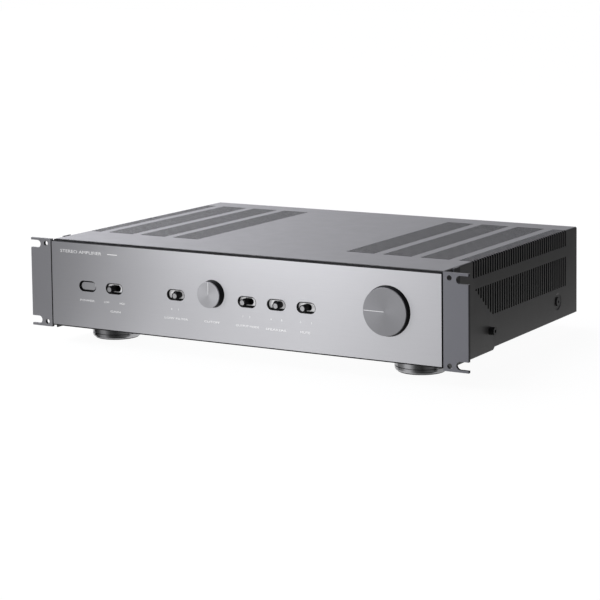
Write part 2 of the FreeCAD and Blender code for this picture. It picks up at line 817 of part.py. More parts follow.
def foot_bodies():
    """Turned feet with a shallow groove round them and a recess for the screw."""
    outer = dims.foot_r
    # radius, z
    return copies(turned("foot_master", "XZ_Plane", "foot_profile", [
        (2.2, -3.0), (7.0, -3.0), (7.0, -12.8),
        (FOOT_PAD_IN, -12.8), (FOOT_PAD_IN, -11.4), (FOOT_PAD_OUT, -11.4), (FOOT_PAD_OUT, -12.9),
        (outer - 1.8, -12.9), (outer - 0.8, -12.3), (outer - 0.2, -11.0), (outer, -8.95),
        (outer - 1.0, -8.65), (outer - 1.0, -8.15), (outer, -7.85),
        (outer, -0.8), (outer - 0.8, 0.0), (2.2, 0.0),
    ]), FOOT_SPOTS)


def foot_pads():
    return copies(cut(rod("z", 0, 0, -14.0, FOOT_PAD_OUT, 2.6),
                      rod("z", 0, 0, -14.1, FOOT_PAD_IN, 2.8)), FOOT_SPOTS)


def foot_screws():
    """Head, shank and a wider collar above the tray's floor; socket from below."""
    solid = fuse(*rods_z(0, 0, (-5.4, 4.2, 2.4), (-3.0, 2.05, 7.0), (1.2, 3.6, 2.6)))
    return copies(cut(solid, *rods_z(0, 0, (-5.5, 1.6, 1.4))), FOOT_SPOTS)


# Power button -------------------------------------------------------------------

def power_button_bezel():
    sunk = 1.5
    return pierced_obround("button_bezel_body", "bezel_outline",
                           (dims.button_half, dims.button_r),
                           (dims.button_half, dims.button_r - dims.button_ring),
                           dims.panel_thick - sunk, (dims.button_x, FACE + sunk, dims.ctrl_z))


def power_button():
    cap_len, stem_len, stem_half = 6.4, 9.0, 2.0
    face_edge_r = 0.7
    button = body("button_body")
    profile = sketch(button, "XZ_Plane", "button_outline")
    obround(profile, 0, 0, dims.button_half, dims.button_r - dims.button_ring - dims.button_gap)
    pad(button, profile, cap_len)
    edge_cut(button, "Fillet", face_edge_r, lambda edge: flat_at(edge, "y", 0))
    profile = sketch(button, "XZ_Plane", "button_stem")
    rect(profile, -stem_half, stem_half, -stem_half, stem_half)
    pad(button, profile, stem_len)
    return place(button, dims.button_x, FACE + dims.button_sunk, dims.ctrl_z)


def power_switch():
    """Mains switch behind the button's stem, with a narrower block at its rear."""
    x, z = dims.button_x, dims.ctrl_z
    return fuse(box(x - 7.0, x + 7.0, 10.5, 30.0, z - 8.0, z + 8.0),
                box(x - 4.0, x + 4.0, 30.0, 36.0, z - 6.0, z + 6.0))


# Slide switches -----------------------------------------------------------------

def slide_switch_bezels():
    return group(*[
        pierced_obround("slide_bezel_%d" % number, "bezel_outline",
                        (dims.switch_half, dims.switch_radius),
                        (dims.switch_half, dims.switch_radius - dims.bezel_wall),
                        dims.switch_deep, (x, FACE, dims.ctrl_z))
        for number, (x, _, _) in enumerate(SWITCHES, 1)])


def slide_switch_plates():
    lever_gap = 0.1
    return group(*[
        pierced_obround("slide_plate_%d" % number, "plate_outline",
                        (dims.switch_half, dims.switch_radius),
                        (throw, dims.lever_r + lever_gap),
                        dims.panel_thick - dims.switch_deep,
                        (x, FACE + dims.switch_deep, dims.ctrl_z))
        for number, (x, throw, _) in enumerate(SWITCHES, 1)])


def slide_switch_bodies():
    """Mouldings with a cavity for the slider and an opening for the stem."""
    front = dims.sub_back
    # half width, front y, rear y, half height
    block = (12.0, front, 13.0, 6.5)
    cavity = (8.6, front + 1.2, 9.0, 4.6)
    opening = (6.4, front - 1.0, front + 1.3, 2.6)
    bodies = []
    for x, _, _ in SWITCHES:
        bodies.append(cut(*[box(x - wide, x + wide, y0, y1, dims.ctrl_z - tall, dims.ctrl_z + tall)
                            for wide, y0, y1, tall in (block, cavity, opening)]))
    return group(*bodies)


def slide_lever(number):
    """Round grip, stem through the sub-panel and slider block in the cavity."""
    x, throw, side = SWITCHES[number - 1]
    radius, stem_r = dims.lever_r, 2.2
    grip_end = dims.lever_reach + dims.switch_deep + 0.4
    stem_end = dims.lever_reach + 8.0
    # radius, distance behind the grip's face
    lever = turned("slide_lever_body_%d" % number, "XY_Plane", "lever_profile", [
        (0, 0.3), (radius - 0.75, 0.3), (radius - 0.75, 0), (radius - 0.3, 0), (radius, 0.3),
        (radius, grip_end), (stem_r, grip_end), (stem_r, stem_end), (0, stem_end),
    ])
    profile = sketch(lever, "XZ_Plane", "slider", -(dims.lever_reach + 6.6))
    rect(profile, -6.0, 6.0, -4.5, 4.5)
    pad(lever, profile, 4.6)
    return place(lever, x + side * throw, FACE - dims.lever_reach, dims.ctrl_z)


# Knobs and their controls ---------------------------------------------------------

DISC_THICK = 1.2


def knob_sizes(name):
    """Centre x and z, base radius, face radius and length of a knob."""
    return [getattr(dims, name + "_" + key) for key in ("x", "z", "r", "face", "len")]


def knob(name):
    """Tapered hollow knob with a hub round the shaft."""
    x, z, base, face, length = knob_sizes(name)
    rear = length - dims.knob_gap
    hub_r, wall, floor = 7.0, 2.2, 2.8
    # radius, distance behind the face
    grip = turned(name + "_knob_body", "XY_Plane", "knob_profile", [
        (dims.shaft_r, DISC_THICK), (face, DISC_THICK), (base - 0.25, rear - 0.6),
        (base, rear), (base - wall, rear), (face - 2.8, floor), (hub_r, floor),
        (hub_r, rear - 0.3), (dims.shaft_r, rear - 0.3),
    ])
    return place(grip, x, FACE - length, z)


def knob_disc(name):
    """Metal disc with a bevelled edge that covers the knob's face."""
    x, z, _, face, length = knob_sizes(name)
    bevel = 0.25
    rim = face - 0.05
    disc = turned(name + "_disc_body", "XY_Plane", "disc_profile", [
        (0, 0), (face - bevel, 0), (rim, bevel), (rim, DISC_THICK), (0, DISC_THICK),
    ])
    return place(disc, x, FACE - length, z)


def control_shaft(name):
    """Shaft with a collar at its rear end, inside the control."""
    x, z, _, _, length = knob_sizes(name)
    start, end = FACE - length + 1.65, FACE + 18.0
    collar_len = 1.4
    return fuse(*rods_y(x, z, (start, dims.shaft_r - 0.02, end - start),
                        (end - collar_len, 5.0, collar_len)))


def control(name):
    """Bushing, can and connection block, bored for the shaft and its collar."""
    x, z = knob_sizes(name)[:2]
    return cut(fuse(*rods_y(x, z, (FACE + 2.0, 3.5, 10.0), (9.0, 8.4, 11.0)),
                    box(x - 8.0, x + 8.0, 10.0, 19.0, z - 14.0, z + 4.0)),
               *rods_y(x, z, (FACE + 1.0, dims.shaft_r + 0.03, 17.6), (12.8, 5.3, 3.4)))


def control_nuts():
    """Nuts on the bushings, behind the sub-panel."""
    return group(*[cut(*rods_y(x, z, (dims.sub_back, 6.2, 2.4), (dims.sub_back - 1.0, 3.55, 5.0)))
                   for x, z in KNOB_CENTRES])


CONTROL_BOARD_FRONT = 13.0


def control_board():
    """Upright board behind the switches, cleared round the controls' cans."""
    front = CONTROL_BOARD_FRONT
    board = box(-150.0, 190.0, front, front + dims.board_thick, 22.0, 72.0)
    tools = []
    for x, z in KNOB_CENTRES:
        tools += rods_y(x, z, (12.0, 8.6, 6.0))
        tools.append(box(x - 8.2, x + 8.2, 12.0, 18.0, z - 14.2, z + 4.2))
    return cut(board, *tools)


# Transformer: rubber disc, toroid, rubber disc, dished plate, one bolt ------------

CORE_PAD = 2.0
CORE_LOW = BED + CORE_PAD
CORE_TOP = CORE_LOW + dims.core_len
PLATE_THICK = 1.5


def transformer():
    bore = 20.0
    outer, height = dims.core_r, dims.core_len
    # radius, height above the lower rubber disc
    core = turned("transformer_body", "XZ_Plane", "toroid_profile", [
        (bore, 3.0), (bore + 2.0, 0.8), (bore + 5.0, 0.0),
        (outer - 7.0, 0.0), (outer - 2.5, 2.0), (outer, 7.0),
        (outer, height - 7.0), (outer - 2.5, height - 2.0), (outer - 7.0, height),
        (bore + 5.0, height), (bore + 2.0, height - 0.8), (bore, height - 3.0),
    ])
    return place(core, 0, dims.core_y, CORE_LOW)


def transformer_pads():
    outer, y = dims.core_r, dims.core_y
    return group(
        cut(*rods_z(0, y, (BED, outer - 6.0, CORE_PAD), (BED - 1.0, 6.0, 5.0))),
        cut(*rods_z(0, y, (CORE_TOP, outer - 14.0, CORE_PAD), (CORE_TOP - 2.0, 12.2, 6.0))))


def transformer_plate():
    """Plate with a cup that dips into the toroid's bore, bored for the bolt."""
    y = dims.core_y
    solid = fuse(*rods_z(0, y, (CORE_TOP + CORE_PAD, dims.core_r - 16.0, PLATE_THICK),
                         (CORE_TOP - 2.0, 12.0, 5.0)))
    return cut(solid, *rods_z(0, y, (CORE_TOP - 3.0, 10.8, 4.9), (BED, 4.1, 80.0)))


def transformer_bolt():
    """Head under the tray, shank and nut on the plate."""
    head_len = 1.8
    return fuse(*rods_z(0, dims.core_y, (dims.tray_lo - head_len, 5.5, head_len),
                        (dims.tray_lo, 3.0, dims.core_len + 14.0),
                        (CORE_TOP + CORE_PAD + PLATE_THICK, 6.5, 4.5)))


# Boards and heatsinks -------------------------------------------------------------

# Flat boards: x0, x1, y0, y1.
SUPPLY_BOARD = (-62.0, 62.0, 186.0, 292.0)
AMPLIFIER_BOARDS = [(-144.0, -72.0, 70.0, 262.0), (72.0, 144.0, 70.0, 262.0)]


def flat_board(edges):
    return box(*edges, BOARD_LOW, BOARD_TOP)


def amplifier_boards():
    return group(*[flat_board(edges) for edges in AMPLIFIER_BOARDS])


def board_standoffs():
    """Standoff with a blind bore under every board corner."""
    inset = 5.0
    posts = []
    for x0, x1, y0, y1 in [SUPPLY_BOARD] + AMPLIFIER_BOARDS:
        for x in (x0 + inset, x1 - inset):
            for y in (y0 + inset, y1 - inset):
                posts.append(cut(*rods_z(x, y, (BED, 3.5, STANDOFF_LEN), (BED + 2.0, 1.5, 7.0))))
    return group(*posts)


def bridge_rectifier():
    middle = BOARD_TOP + 11.0
    return fuse(box(-44.0, -16.0, 252.0, 280.0, BOARD_TOP, middle),
                box(-46.0, -14.0, 250.0, 282.0, middle, middle + 2.0))


def output_relays():
    return group(*[box(x, x + 16.0, 256.0, 286.0, BOARD_TOP, BOARD_TOP + 20.0)
                   for x in (4.0, 30.0)])


def capacitors():
    """Three stepped cans on the supply board, five plain ones on each amplifier
    board."""
    can_len = 44.0
    cans = [fuse(*rods_z(x, 212.0, (BOARD_TOP, 17.5, can_len), (BOARD_TOP + can_len, 15.5, 0.8)))
            for x in (-38.0, 0.0, 38.0)]
    # x from the middle, y, radius, height
    plain = [
        (84.0, 92.0, 8.0, 25.0), (84.0, 120.0, 8.0, 25.0), (112.0, 210.0, 8.0, 25.0),
        (84.0, 236.0, 8.0, 25.0), (108.0, 160.0, 10.0, 14.0),
    ]
    for side in SIDES:
        for x, y, radius, height in plain:
            cans.append(rod("z", side * x, y, BOARD_TOP, radius, height))
    return group(*cans)


def heatsink(side):
    """Upright web along the chassis with vertical fins on its outer side."""
    front, web, fin_tip = 74.0, 6.0, 44.0
    fin_count, fin_thick, overlap = 20, 2.0, 1.0
    inner = dims.sink_x
    top = BED + dims.sink_z
    blocks = [box(*mirrored(side, inner, inner + web), front, front + dims.sink_len, BED, top)]
    for i in range(fin_count):
        y = front + (dims.sink_len - fin_thick) * i / (fin_count - 1)
        blocks.append(box(*mirrored(side, inner + (web - overlap), inner + fin_tip),
                          y, y + fin_thick, BED, top))
    return fuse(*blocks)


def output_transistors():
    """Output devices flat against the inner faces of the heatsinks."""
    thick, width = 5.0, 16.0
    return group(*[box(*mirrored(side, dims.sink_x - thick, dims.sink_x),
                       y, y + width, BOARD_TOP + 6.0, BOARD_TOP + 27.0)
                   for side in SIDES for y in (96.0, 132.0, 190.0, 226.0)])


# Wiring -------------------------------------------------------------------------

def wire(points, radius):
    """Round wire through the points, with each corner rounded."""
    largest_bend = 8.0
    points = [Vector(*point) for point in points]
    edges, last = [], points[0]
    for before, corner, after in zip(points, points[1:], points[2:]):
        bend = min(largest_bend, (corner - before).Length / 2.2, (after - corner).Length / 2.2)
        bend_start = corner + (before - corner).normalize() * bend
        bend_end = corner + (after - corner).normalize() * bend
        bend_mid = (bend_start + bend_end) * 0.25 + corner * 0.5
        edges.append(Part.makeLine(last, bend_start))
        edges.append(Part.Arc(bend_start, bend_mid, bend_end).toShape())
        last = bend_end
    edges.append(Part.makeLine(last, points[-1]))
    direction = (points[1] - points[0]).normalize()
    section = Part.Wire([Part.makeCircle(radius, points[0], direction)])
    return Part.Wire(edges).makePipeShell([section], True, True)


def power_leads():
    """Four leads from the transformer to the supply board, and two mains leads
    from the power switch along the floor to the same board."""
    board, floor = BOARD_TOP.value, BED.value + 2.0
    core_rear = dims.core_y.value + dims.core_r.value + 0.5
    button_x, switch_z = dims.button_x.value, dims.ctrl_z.value
    leads = [wire([(x, core_rear, 22.0), (x, 178.0, 22.0),
                   (x, 190.0, board + 2.0), (x, 193.0, board + 1.6)], 1.5)
             for x in (-12.0, -6.0, 6.0, 12.0)]
    for side in SIDES:
        start_x, run_x = button_x + 3.0 * side, -66.0 + 4.0 * side
        leads.append(wire([
            (start_x, 36.1, switch_z), (start_x, 52.0, switch_z), (start_x, 60.0, floor),
            (run_x, 66.0 + 4.0 * side, floor), (run_x, 174.0, floor),
            (run_x, 183.0, board + 20.0), (-50.0, 188.0 + 4.0 * side, board + 3.0),
        ], 1.4))
    return feature(Part.makeCompound(leads))


def ribbon_cable():
    """Flat cable from the control board back and down to the right amplifier board."""
    x, width, thick = 100.0, 24.0, 0.9
    level, run = 24.0, 50.0
    board = BOARD_TOP.value
    start = CONTROL_BOARD_FRONT + dims.board_thick.value + 0.1
    drop = start + run
    upper = Part.makeBox(width, run, thick, Vector(x, start, level))
    upright = Part.makeBox(width, thick, level - board + thick, Vector(x, drop, board))
    lower = Part.makeBox(width, 14.0, thick, Vector(x, drop, board))
    return feature(upper.fuse(upright).fuse(lower).removeSplitter())


# Rear connectors ----------------------------------------------------------------

INLET_FLANGE = 2.4


def mains_inlet():
    """Flanged moulding with the socket below, its pins, and the drawer's recess
    above."""
    socket_frame = (153.5, 174.5, 27.0, 49.0)
    pin_x = (INLET_FRAME[0] + INLET_FRAME[1]) / 2
    pin_z = (socket_frame[2] + socket_frame[3]) / 2
    inlet = cut(fuse(slab(INLET_FRAME, -0.2, 276.0, REAR_OUT),
                     slab(INLET_FRAME, 3.0, REAR_OUT, REAR_OUT + INLET_FLANGE)),
                slab(socket_frame, 0.0, 284.0, REAR_OUT + 5.0),
                slab(DRAWER_FRAME, 0.0, 280.0, REAR_OUT + 5.0))
    pins = []
    for dx, dz in ((-6.5, -2.0), (6.5, -2.0), (0.0, 4.5)):
        x, z = pin_x + dx, pin_z + dz
        pins.append(box(x - 1.0, x + 1.0, 283.9, 297.0, z - 2.5, z + 2.5))
    return fuse(inlet, *pins)


def fuse_drawer():
    """Drawer, its raised front and a grip on that."""
    flange_face = REAR_OUT + INLET_FLANGE
    front_face = flange_face + 1.8
    return fuse(slab(DRAWER_FRAME, -0.1, 282.0, flange_face),
                box(155.0, 173.0, flange_face, front_face, 56.5, 67.5),
                box(161.0, 167.0, front_face, front_face + 1.4, 60.0, 64.0))


SHELL_START = 288.0
CORE_START = 287.5


def input_sockets():
    """Metal phono shells through the rear panel, each with a collar."""
    shell_len = REAR_OUT + 9.0 - SHELL_START
    return group(*[cut(fuse(*rods_y(x, z, (SHELL_START, 4.15, shell_len), (REAR_OUT, 5.6, 1.4))),
                       *rods_y(x, z, (SHELL_START - 1.0, 3.25, 30.0)))
                   for x, z in PHONO_CENTRES])


def input_block():
    """Block inside the rear panel with a moulded core standing in every shell."""
    core_len = REAR_OUT + 7.5 - CORE_START
    cores = [cut(*rods_y(x, z, (CORE_START, 3.2, core_len), (295.0, 1.6, 30.0)))
             for x, z in PHONO_CENTRES]
    bores = [rod("y", x, SHELL_START, z, 4.2, 20.0) for x, z in PHONO_CENTRES]
    block = slab((PHONO_X[0], PHONO_X[-1], PHONO_Z[0], PHONO_Z[-1]), 10.0, 285.0, REAR_IN)
    return fuse(cut(block, *bores), *cores)


def trigger_jacks():
    """Sleeve, square body inside the panel and collar outside it, bored."""
    jacks = []
    for x in TRIGGER_X:
        sleeve, collar, bore = rods_y(x, TRIGGER_Z, (REAR_IN - 14.0, 3.0, 17.0),
                                      (REAR_OUT, 4.2, 2.2), (REAR_OUT - 10.0, 1.75, 20.0))
        block = slab((x, x, TRIGGER_Z, TRIGGER_Z), 5.0, REAR_IN - 16.0, REAR_IN)
        jacks.append(cut(fuse(sleeve, block, collar), bore))
    return group(*jacks)


def post_bases():
    """Insulated bases clamped to both faces of the rear panel."""
    return group(*[cut(fuse(*rods_y(x, POST_Z, (REAR_IN - 3.0, 8.0, 3.0),
                                    (REAR_IN, 4.9, REAR_OUT - REAR_IN), (REAR_OUT, 8.0, 3.2))),
                       *rods_y(x, POST_Z, (REAR_IN - 5.0, 2.55, 30.0)))
                   for x in POST_X])


def speaker_posts():
    """Metal posts with a cross hole, a bore in the outer end and an inner collar."""
    return group(*[cut(fuse(*rods_y(x, POST_Z, (REAR_IN - 14.0, 2.5, 33.0),
                                    (REAR_IN - 6.0, 4.0, 3.0))),
                       rod("z", x, REAR_OUT + 5.2, POST_Z - 6.0, 1.3, 12.0),
                       rod("y", x, REAR_OUT + 10.0, POST_Z, 2.0, 20.0))
                   for x in POST_X])


def post_nut(x):
    """Fluted grip with a narrower neck towards the panel."""
    flute_count, flute_r = 12, 1.1
    flute_circle = dims.post_r + 0.6
    grip = fuse(*rods_y(x, POST_Z, (REAR_OUT + 7.0, dims.post_r, 12.0),
                        (REAR_OUT + 4.2, dims.post_r - 1.2, 2.8)))
    tools = rods_y(x, POST_Z, (REAR_OUT + 3.0, 2.56, 30.0))
    for i in range(flute_count):
        angle = math.radians(360.0 / flute_count * i)
        tools.append(rod("y", x + flute_circle * math.cos(angle), REAR_OUT + 8.5,
                         POST_Z + flute_circle * math.sin(angle), flute_r, 12.0))
    return cut(grip, *tools)


# Build, check and write -----------------------------------------------------------

# Label, builder, the builder's arguments.
PIECES = [
    ("front_panel", front_panel),
    ("front_subpanel", front_subpanel),
    ("front_panel_screws", front_panel_screws),
    ("left_rack_ear", rack_ear, -1),
    ("right_rack_ear", rack_ear, 1),
    ("rack_ear_screws", rack_ear_screws),
    ("top_cover", top_cover),
    ("base_tray", base_tray),
    ("rear_panel", rear_panel),
    ("case_screws", case_screws),
    ("foot_bodies", foot_bodies),
    ("foot_pads", foot_pads),
    ("foot_screws", foot_screws),
    ("power_button_bezel", power_button_bezel),
    ("power_button", power_button),
    ("power_switch", power_switch),
    *[("slide_lever_%d" % number, slide_lever, number) for number in range(1, 6)],
    ("slide_switch_bezels", slide_switch_bezels),
    ("slide_switch_plates", slide_switch_plates),
    ("slide_switch_bodies", slide_switch_bodies),
    *[(name + suffix, build, name) for name in ("level", "filter")
      for suffix, build in (("_knob", knob), ("_knob_disc", knob_disc),
                            ("_shaft", control_shaft), ("_control", control))],
    ("control_nuts", control_nuts),
    ("control_board", control_board),
    ("transformer", transformer),
    ("transformer_pads", transformer_pads),
    ("transformer_plate", transformer_plate),
    ("transformer_bolt", transformer_bolt),
    ("supply_board", flat_board, SUPPLY_BOARD),
    ("amplifier_boards", amplifier_boards),
    ("bridge_rectifier", bridge_rectifier),
    ("output_relays", output_relays),
    ("left_heatsink", heatsink, -1),
    ("right_heatsink", heatsink, 1),
    ("output_transistors", output_transistors),
    ("capacitors", capacitors),
    ("board_standoffs", board_standoffs),
    ("power_leads", power_leads),
    ("ribbon_cable", ribbon_cable),
    ("mains_inlet", mains_inlet),
    ("fuse_drawer", fuse_drawer),
    ("input_sockets", input_sockets),
    ("input_block", input_block),
    ("trigger_jacks", trigger_jacks),
    ("post_bases", post_bases),
    ("speaker_posts", speaker_posts),
    *[(label + "_nut", post_nut, x) for label, x in zip(
        ("left_positive", "left_negative", "right_positive", "right_negative"), POST_X)],
]
for label, build, *arguments in PIECES:
    add_part(label, build(*arguments))

doc.recompute()
for obj in doc.Objects:
    if "Invalid" in obj.State or "Error" in obj.State:
        raise RuntimeError("%s (%s) failed: %s" % (obj.Name, obj.Label, obj.State))
for obj in PARTS:
    if obj.Shape.isNull() or not obj.Shape.isValid() or not obj.Shape.Solids:
        raise RuntimeError("%s has no valid solid" % obj.Label)
os.makedirs("parts", exist_ok=True)
for obj in PARTS:
    obj.Shape.exportStep("parts/%s.step" % obj.Label)
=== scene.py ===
import math

import bmesh
import bpy
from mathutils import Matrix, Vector


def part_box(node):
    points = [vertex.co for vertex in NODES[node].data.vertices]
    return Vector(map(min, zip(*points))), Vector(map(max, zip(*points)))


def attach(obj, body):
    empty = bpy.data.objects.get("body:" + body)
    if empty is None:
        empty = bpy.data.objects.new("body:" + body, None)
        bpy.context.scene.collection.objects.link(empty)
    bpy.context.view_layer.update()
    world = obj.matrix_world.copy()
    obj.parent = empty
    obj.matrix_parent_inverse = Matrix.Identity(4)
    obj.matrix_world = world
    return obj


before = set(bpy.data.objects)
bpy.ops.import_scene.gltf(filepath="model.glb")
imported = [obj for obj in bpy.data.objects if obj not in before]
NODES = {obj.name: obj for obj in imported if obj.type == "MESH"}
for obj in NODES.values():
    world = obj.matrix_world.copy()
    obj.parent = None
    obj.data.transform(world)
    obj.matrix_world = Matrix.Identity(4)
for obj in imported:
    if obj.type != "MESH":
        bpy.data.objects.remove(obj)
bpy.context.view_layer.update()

scene = bpy.context.scene

# ---------------------------------------------------------------------------
# Node-graph helpers.  Object coordinates are the row's own frame in metres.
# ---------------------------------------------------------------------------


class G:
    """A small builder for one material's node graph."""

    def __init__(self, name):
        self.mat = bpy.data.materials.new(name)
        self.mat.use_nodes = True
        self.nt = self.mat.node_tree
        self.nt.nodes.clear()
        self.out = self.nt.nodes.new("ShaderNodeOutputMaterial")
        self.bsdf = self.nt.nodes.new("ShaderNodeBsdfPrincipled")
        self.nt.links.new(self.bsdf.outputs[0], self.out.inputs[0])
        self.tc = self.nt.nodes.new("ShaderNodeTexCoord")
        self.geo = self.nt.nodes.new("ShaderNodeNewGeometry")

    def new(self, kind, **props):
        n = self.nt.nodes.new(kind)
        for k, v in props.items():
            setattr(n, k, v)
        return n

    def link(self, a, b):
        self.nt.links.new(a, b)

    def put(self, socket, value):
        if hasattr(value, "is_linked") or hasattr(value, "links"):
            self.link(value, socket)
        else:
            socket.default_value = value

    def math(self, op, a, b=0.0, c=0.0, clamp=False):
        n = self.new("ShaderNodeMath", operation=op, use_clamp=clamp)
        for i, v in enumerate((a, b, c)):
            self.put(n.inputs[i], v)
        return n.outputs[0]

    def vec(self, op, a, b=(0, 0, 0)):
        n = self.new("ShaderNodeVectorMath", operation=op)
        self.put(n.inputs[0], a)
        if op == "SCALE":
            self.put(n.inputs[3], b)
        else:
            self.put(n.inputs[1], b)
        return n

    def pos(self):
        return self.tc.outputs["Object"]

    def xyz(self, v=None):
        n = self.new("ShaderNodeSeparateXYZ")
        self.link(self.pos() if v is None else v, n.inputs[0])
        return n.outputs

    def normal(self):
        """The face's own normal in the row frame."""
        n = self.new("ShaderNodeVectorTransform", vector_type="NORMAL", convert_from="WORLD", convert_to="OBJECT")
        self.link(self.geo.outputs["True Normal"], n.inputs[0])
        return self.xyz(n.outputs[0])

    def noise(self, scale, detail=4.0, rough=0.55, stretch=None, vector=None, dims="3D"):
        n = self.new("ShaderNodeTexNoise", noise_dimensions=dims)
        n.inputs["Scale"].default_value = scale
        n.inputs["Detail"].default_value = detail
        n.inputs["Roughness"].default_value = rough
        v = self.pos() if vector is None else vector
        if stretch is not None:
            m = self.new("ShaderNodeMapping")
            m.inputs["Scale"].default_value = stretch
            self.link(v, m.inputs["Vector"])
            v = m.outputs[0]
        self.link(v, n.inputs["Vector"])
        return n.outputs["Fac"]

    def voronoi(self, scale, feature="F1"):
        n = self.new("ShaderNodeTexVoronoi", feature=feature)
        n.inputs["Scale"].default_value = scale
        self.link(self.pos(), n.inputs["Vector"])
        return n.outputs["Distance"]

    def span(self, value, a, b, lo=0.0, hi=1.0):
        """Map value from a..b to lo..hi, clamped."""
        n = self.new("ShaderNodeMapRange")
        self.put(n.inputs["Value"], value)
        for key, v in (("From Min", a), ("From Max", b), ("To Min", lo), ("To Max", hi)):
            self.put(n.inputs[key], v)
        return n.outputs["Result"]

    def mix(self, fac, a, b):
        n = self.new("ShaderNodeMix", data_type="RGBA")
        self.put(n.inputs["Factor"], fac)
        self.put(n.inputs["A"], rgba(a) if isinstance(a, tuple) else a)
        self.put(n.inputs["B"], rgba(b) if isinstance(b, tuple) else b)
        for s in n.inputs:
            pass
        return n.outputs["Result"]

    def blendf(self, fac, a, b):
        n = self.new("ShaderNodeMix", data_type="FLOAT")
        self.put(n.inputs["Factor"], fac)
        self.put(n.inputs["A"], a)
        self.put(n.inputs["B"], b)
        return n.outputs["Result"]

    def shade(self, color, value, amount):
        """Lighten or darken a colour by a 0..1 value about its middle."""
        f = self.span(value, 0.25, 0.75, 1.0 - amount, 1.0 + amount)
        n = self.new("ShaderNodeVectorMath", operation="SCALE")
        if isinstance(color, tuple):
            rgb = self.new("ShaderNodeRGB")
            rgb.outputs[0].default_value = rgba(color)
            color = rgb.outputs[0]
        self.link(color, n.inputs[0])
        self.link(f, n.inputs[3])
        return n.outputs[0]

    def bump(self, height, strength, distance, normal=None):
        n = self.new("ShaderNodeBump")
        n.inputs["Strength"].default_value = strength
        n.inputs["Distance"].default_value = distance
        self.link(height, n.inputs["Height"])
        if normal is not None:
            self.link(normal, n.inputs["Normal"])
        return n.outputs[0]

    def set(self, **kw):
        names = {"color": "Base Color", "rough": "Roughness", "metal": "Metallic", "spec": "Specular IOR Level",
                 "coat": "Coat Weight", "coat_rough": "Coat Roughness", "normal": "Normal", "aniso": "Anisotropic",
                 "tangent": "Tangent", "emit": "Emission Strength", "emit_color": "Emission Color", "ior": "IOR",
                 "sheen": "Sheen Weight"}
        for k, v in kw.items():
            s = self.bsdf.inputs[names[k]]
            if isinstance(v, tuple):
                s.default_value = rgba(v)
            else:
                self.put(s, v)
        return self


def rgba(c):
    return tuple(c) if len(c) == 4 else (c[0], c[1], c[2], 1.0)


def srgb(r, g, b):
    """sRGB 0..255 to linear."""
    out = []
    for v in (r, g, b):
        v /= 255.0
        out.append(v / 12.92 if v <= 0.04045 else ((v + 0.055) / 1.055) ** 2.4)
    return tuple(out)


def wear(g, radius=0.0006):
    """0 on flats, 1 on tight convex edges."""
    return g.span(g.geo.outputs["Pointiness"], 0.52, 0.60)


# ---------------------------------------------------------------------------
# Materials
# ---------------------------------------------------------------------------

MATS = {}


def paint(name, color, rough, grain=2600.0, depth=0.00003, strength=0.25, tint=0.06, spec=0.5, metal=0.0, coat=0.0, coat_rough=0.2, drift=0.012, shade_front_edge=False, shade_walls=False):
    """Powder coat or satin paint: fine orange-peel bump, slow tone drift, dusty wear on edges."""
    g = G(name)
    slow = g.noise(9.0, 3.0)
    fine = g.noise(grain, 2.0, 0.6)
    col = g.shade(color, slow, tint)
    col = g.shade(col, fine, tint * 0.7)
    edge = g.span(g.geo.outputs["Pointiness"], 0.53, 0.62)
    col = g.mix(g.math("MULTIPLY", edge, 0.25), col, tuple(min(1.0, c * 2.4 + 0.02) for c in color))
    r = g.span(g.noise(60.0, 4.0), 0.3, 0.7, rough - drift, rough + drift)
    if shade_front_edge:
        # painted shade: the sheet's front-facing edge is darkened to near black and made duller
        ny = g.normal()[1]
        front = g.span(g.math("MULTIPLY", ny, -1.0), 0.70, 0.85)
        col = g.mix(front, col, (0.009, 0.009, 0.010))
        spec = g.span(front, 0, 1, spec, 0.12)
        r = g.blendf(front, r, 0.6)
    if shade_walls:
        # painted shade: the plate's sheared edges and hole walls are darkened and lose their metal
        wall = g.span(g.math("ABSOLUTE", g.normal()[1]), 0.5, 0.7, 1.0, 0.0)
        col = g.mix(wall, col, (0.030, 0.030, 0.031))
        metal = g.math("MULTIPLY", g.span(wall, 0, 1, 1.0, 0.0), metal)
        spec = g.span(wall, 0, 1, spec, 0.2)
    g.set(color=col, rough=r, metal=metal, spec=spec, coat=coat, coat_rough=coat_rough, normal=g.bump(fine, strength, depth))
    MATS[name] = g.mat
    return g.mat


def metal(name, color, rough, stretch=(1, 1, 1), grain=900.0, depth=0.00001, strength=0.3, tint=0.05, metallic=1.0, aniso=0.0):
    """Bare or plated metal with drawn or tumbled grain and smudges."""
    g = G(name)
    fine = g.noise(grain, 3.0, 0.6, stretch)
    slow = g.noise(35.0, 4.0)
    col = g.shade(color, slow, tint)
    col = g.shade(col, fine, tint)
    r = g.math("ADD", g.span(fine, 0.3, 0.7, rough - 0.05, rough + 0.05), g.span(slow, 0.35, 0.7, -0.03, 0.05))
    g.set(color=col, rough=r, metal=metallic, aniso=aniso, normal=g.bump(fine, strength, depth))
    MATS[name] = g.mat
    return g.mat


def plastic(name, color, rough, grain=1800.0, depth=0.00002, strength=0.2, tint=0.08, spec=0.5, coat=0.0):
    """Moulded plastic with a spark-eroded texture and faint flow marks."""
    g = G(name)
    fine = g.noise(grain, 2.0, 0.5)
    flow = g.noise(28.0, 5.0, 0.6, (1.0, 1.0, 0.35))
    col = g.shade(color, flow, tint)
    r = g.span(flow, 0.3, 0.7, rough - 0.04, rough + 0.06)
    g.set(color=col, rough=r, spec=spec, coat=coat, normal=g.bump(fine, strength, depth))
    MATS[name] = g.mat
    return g.mat


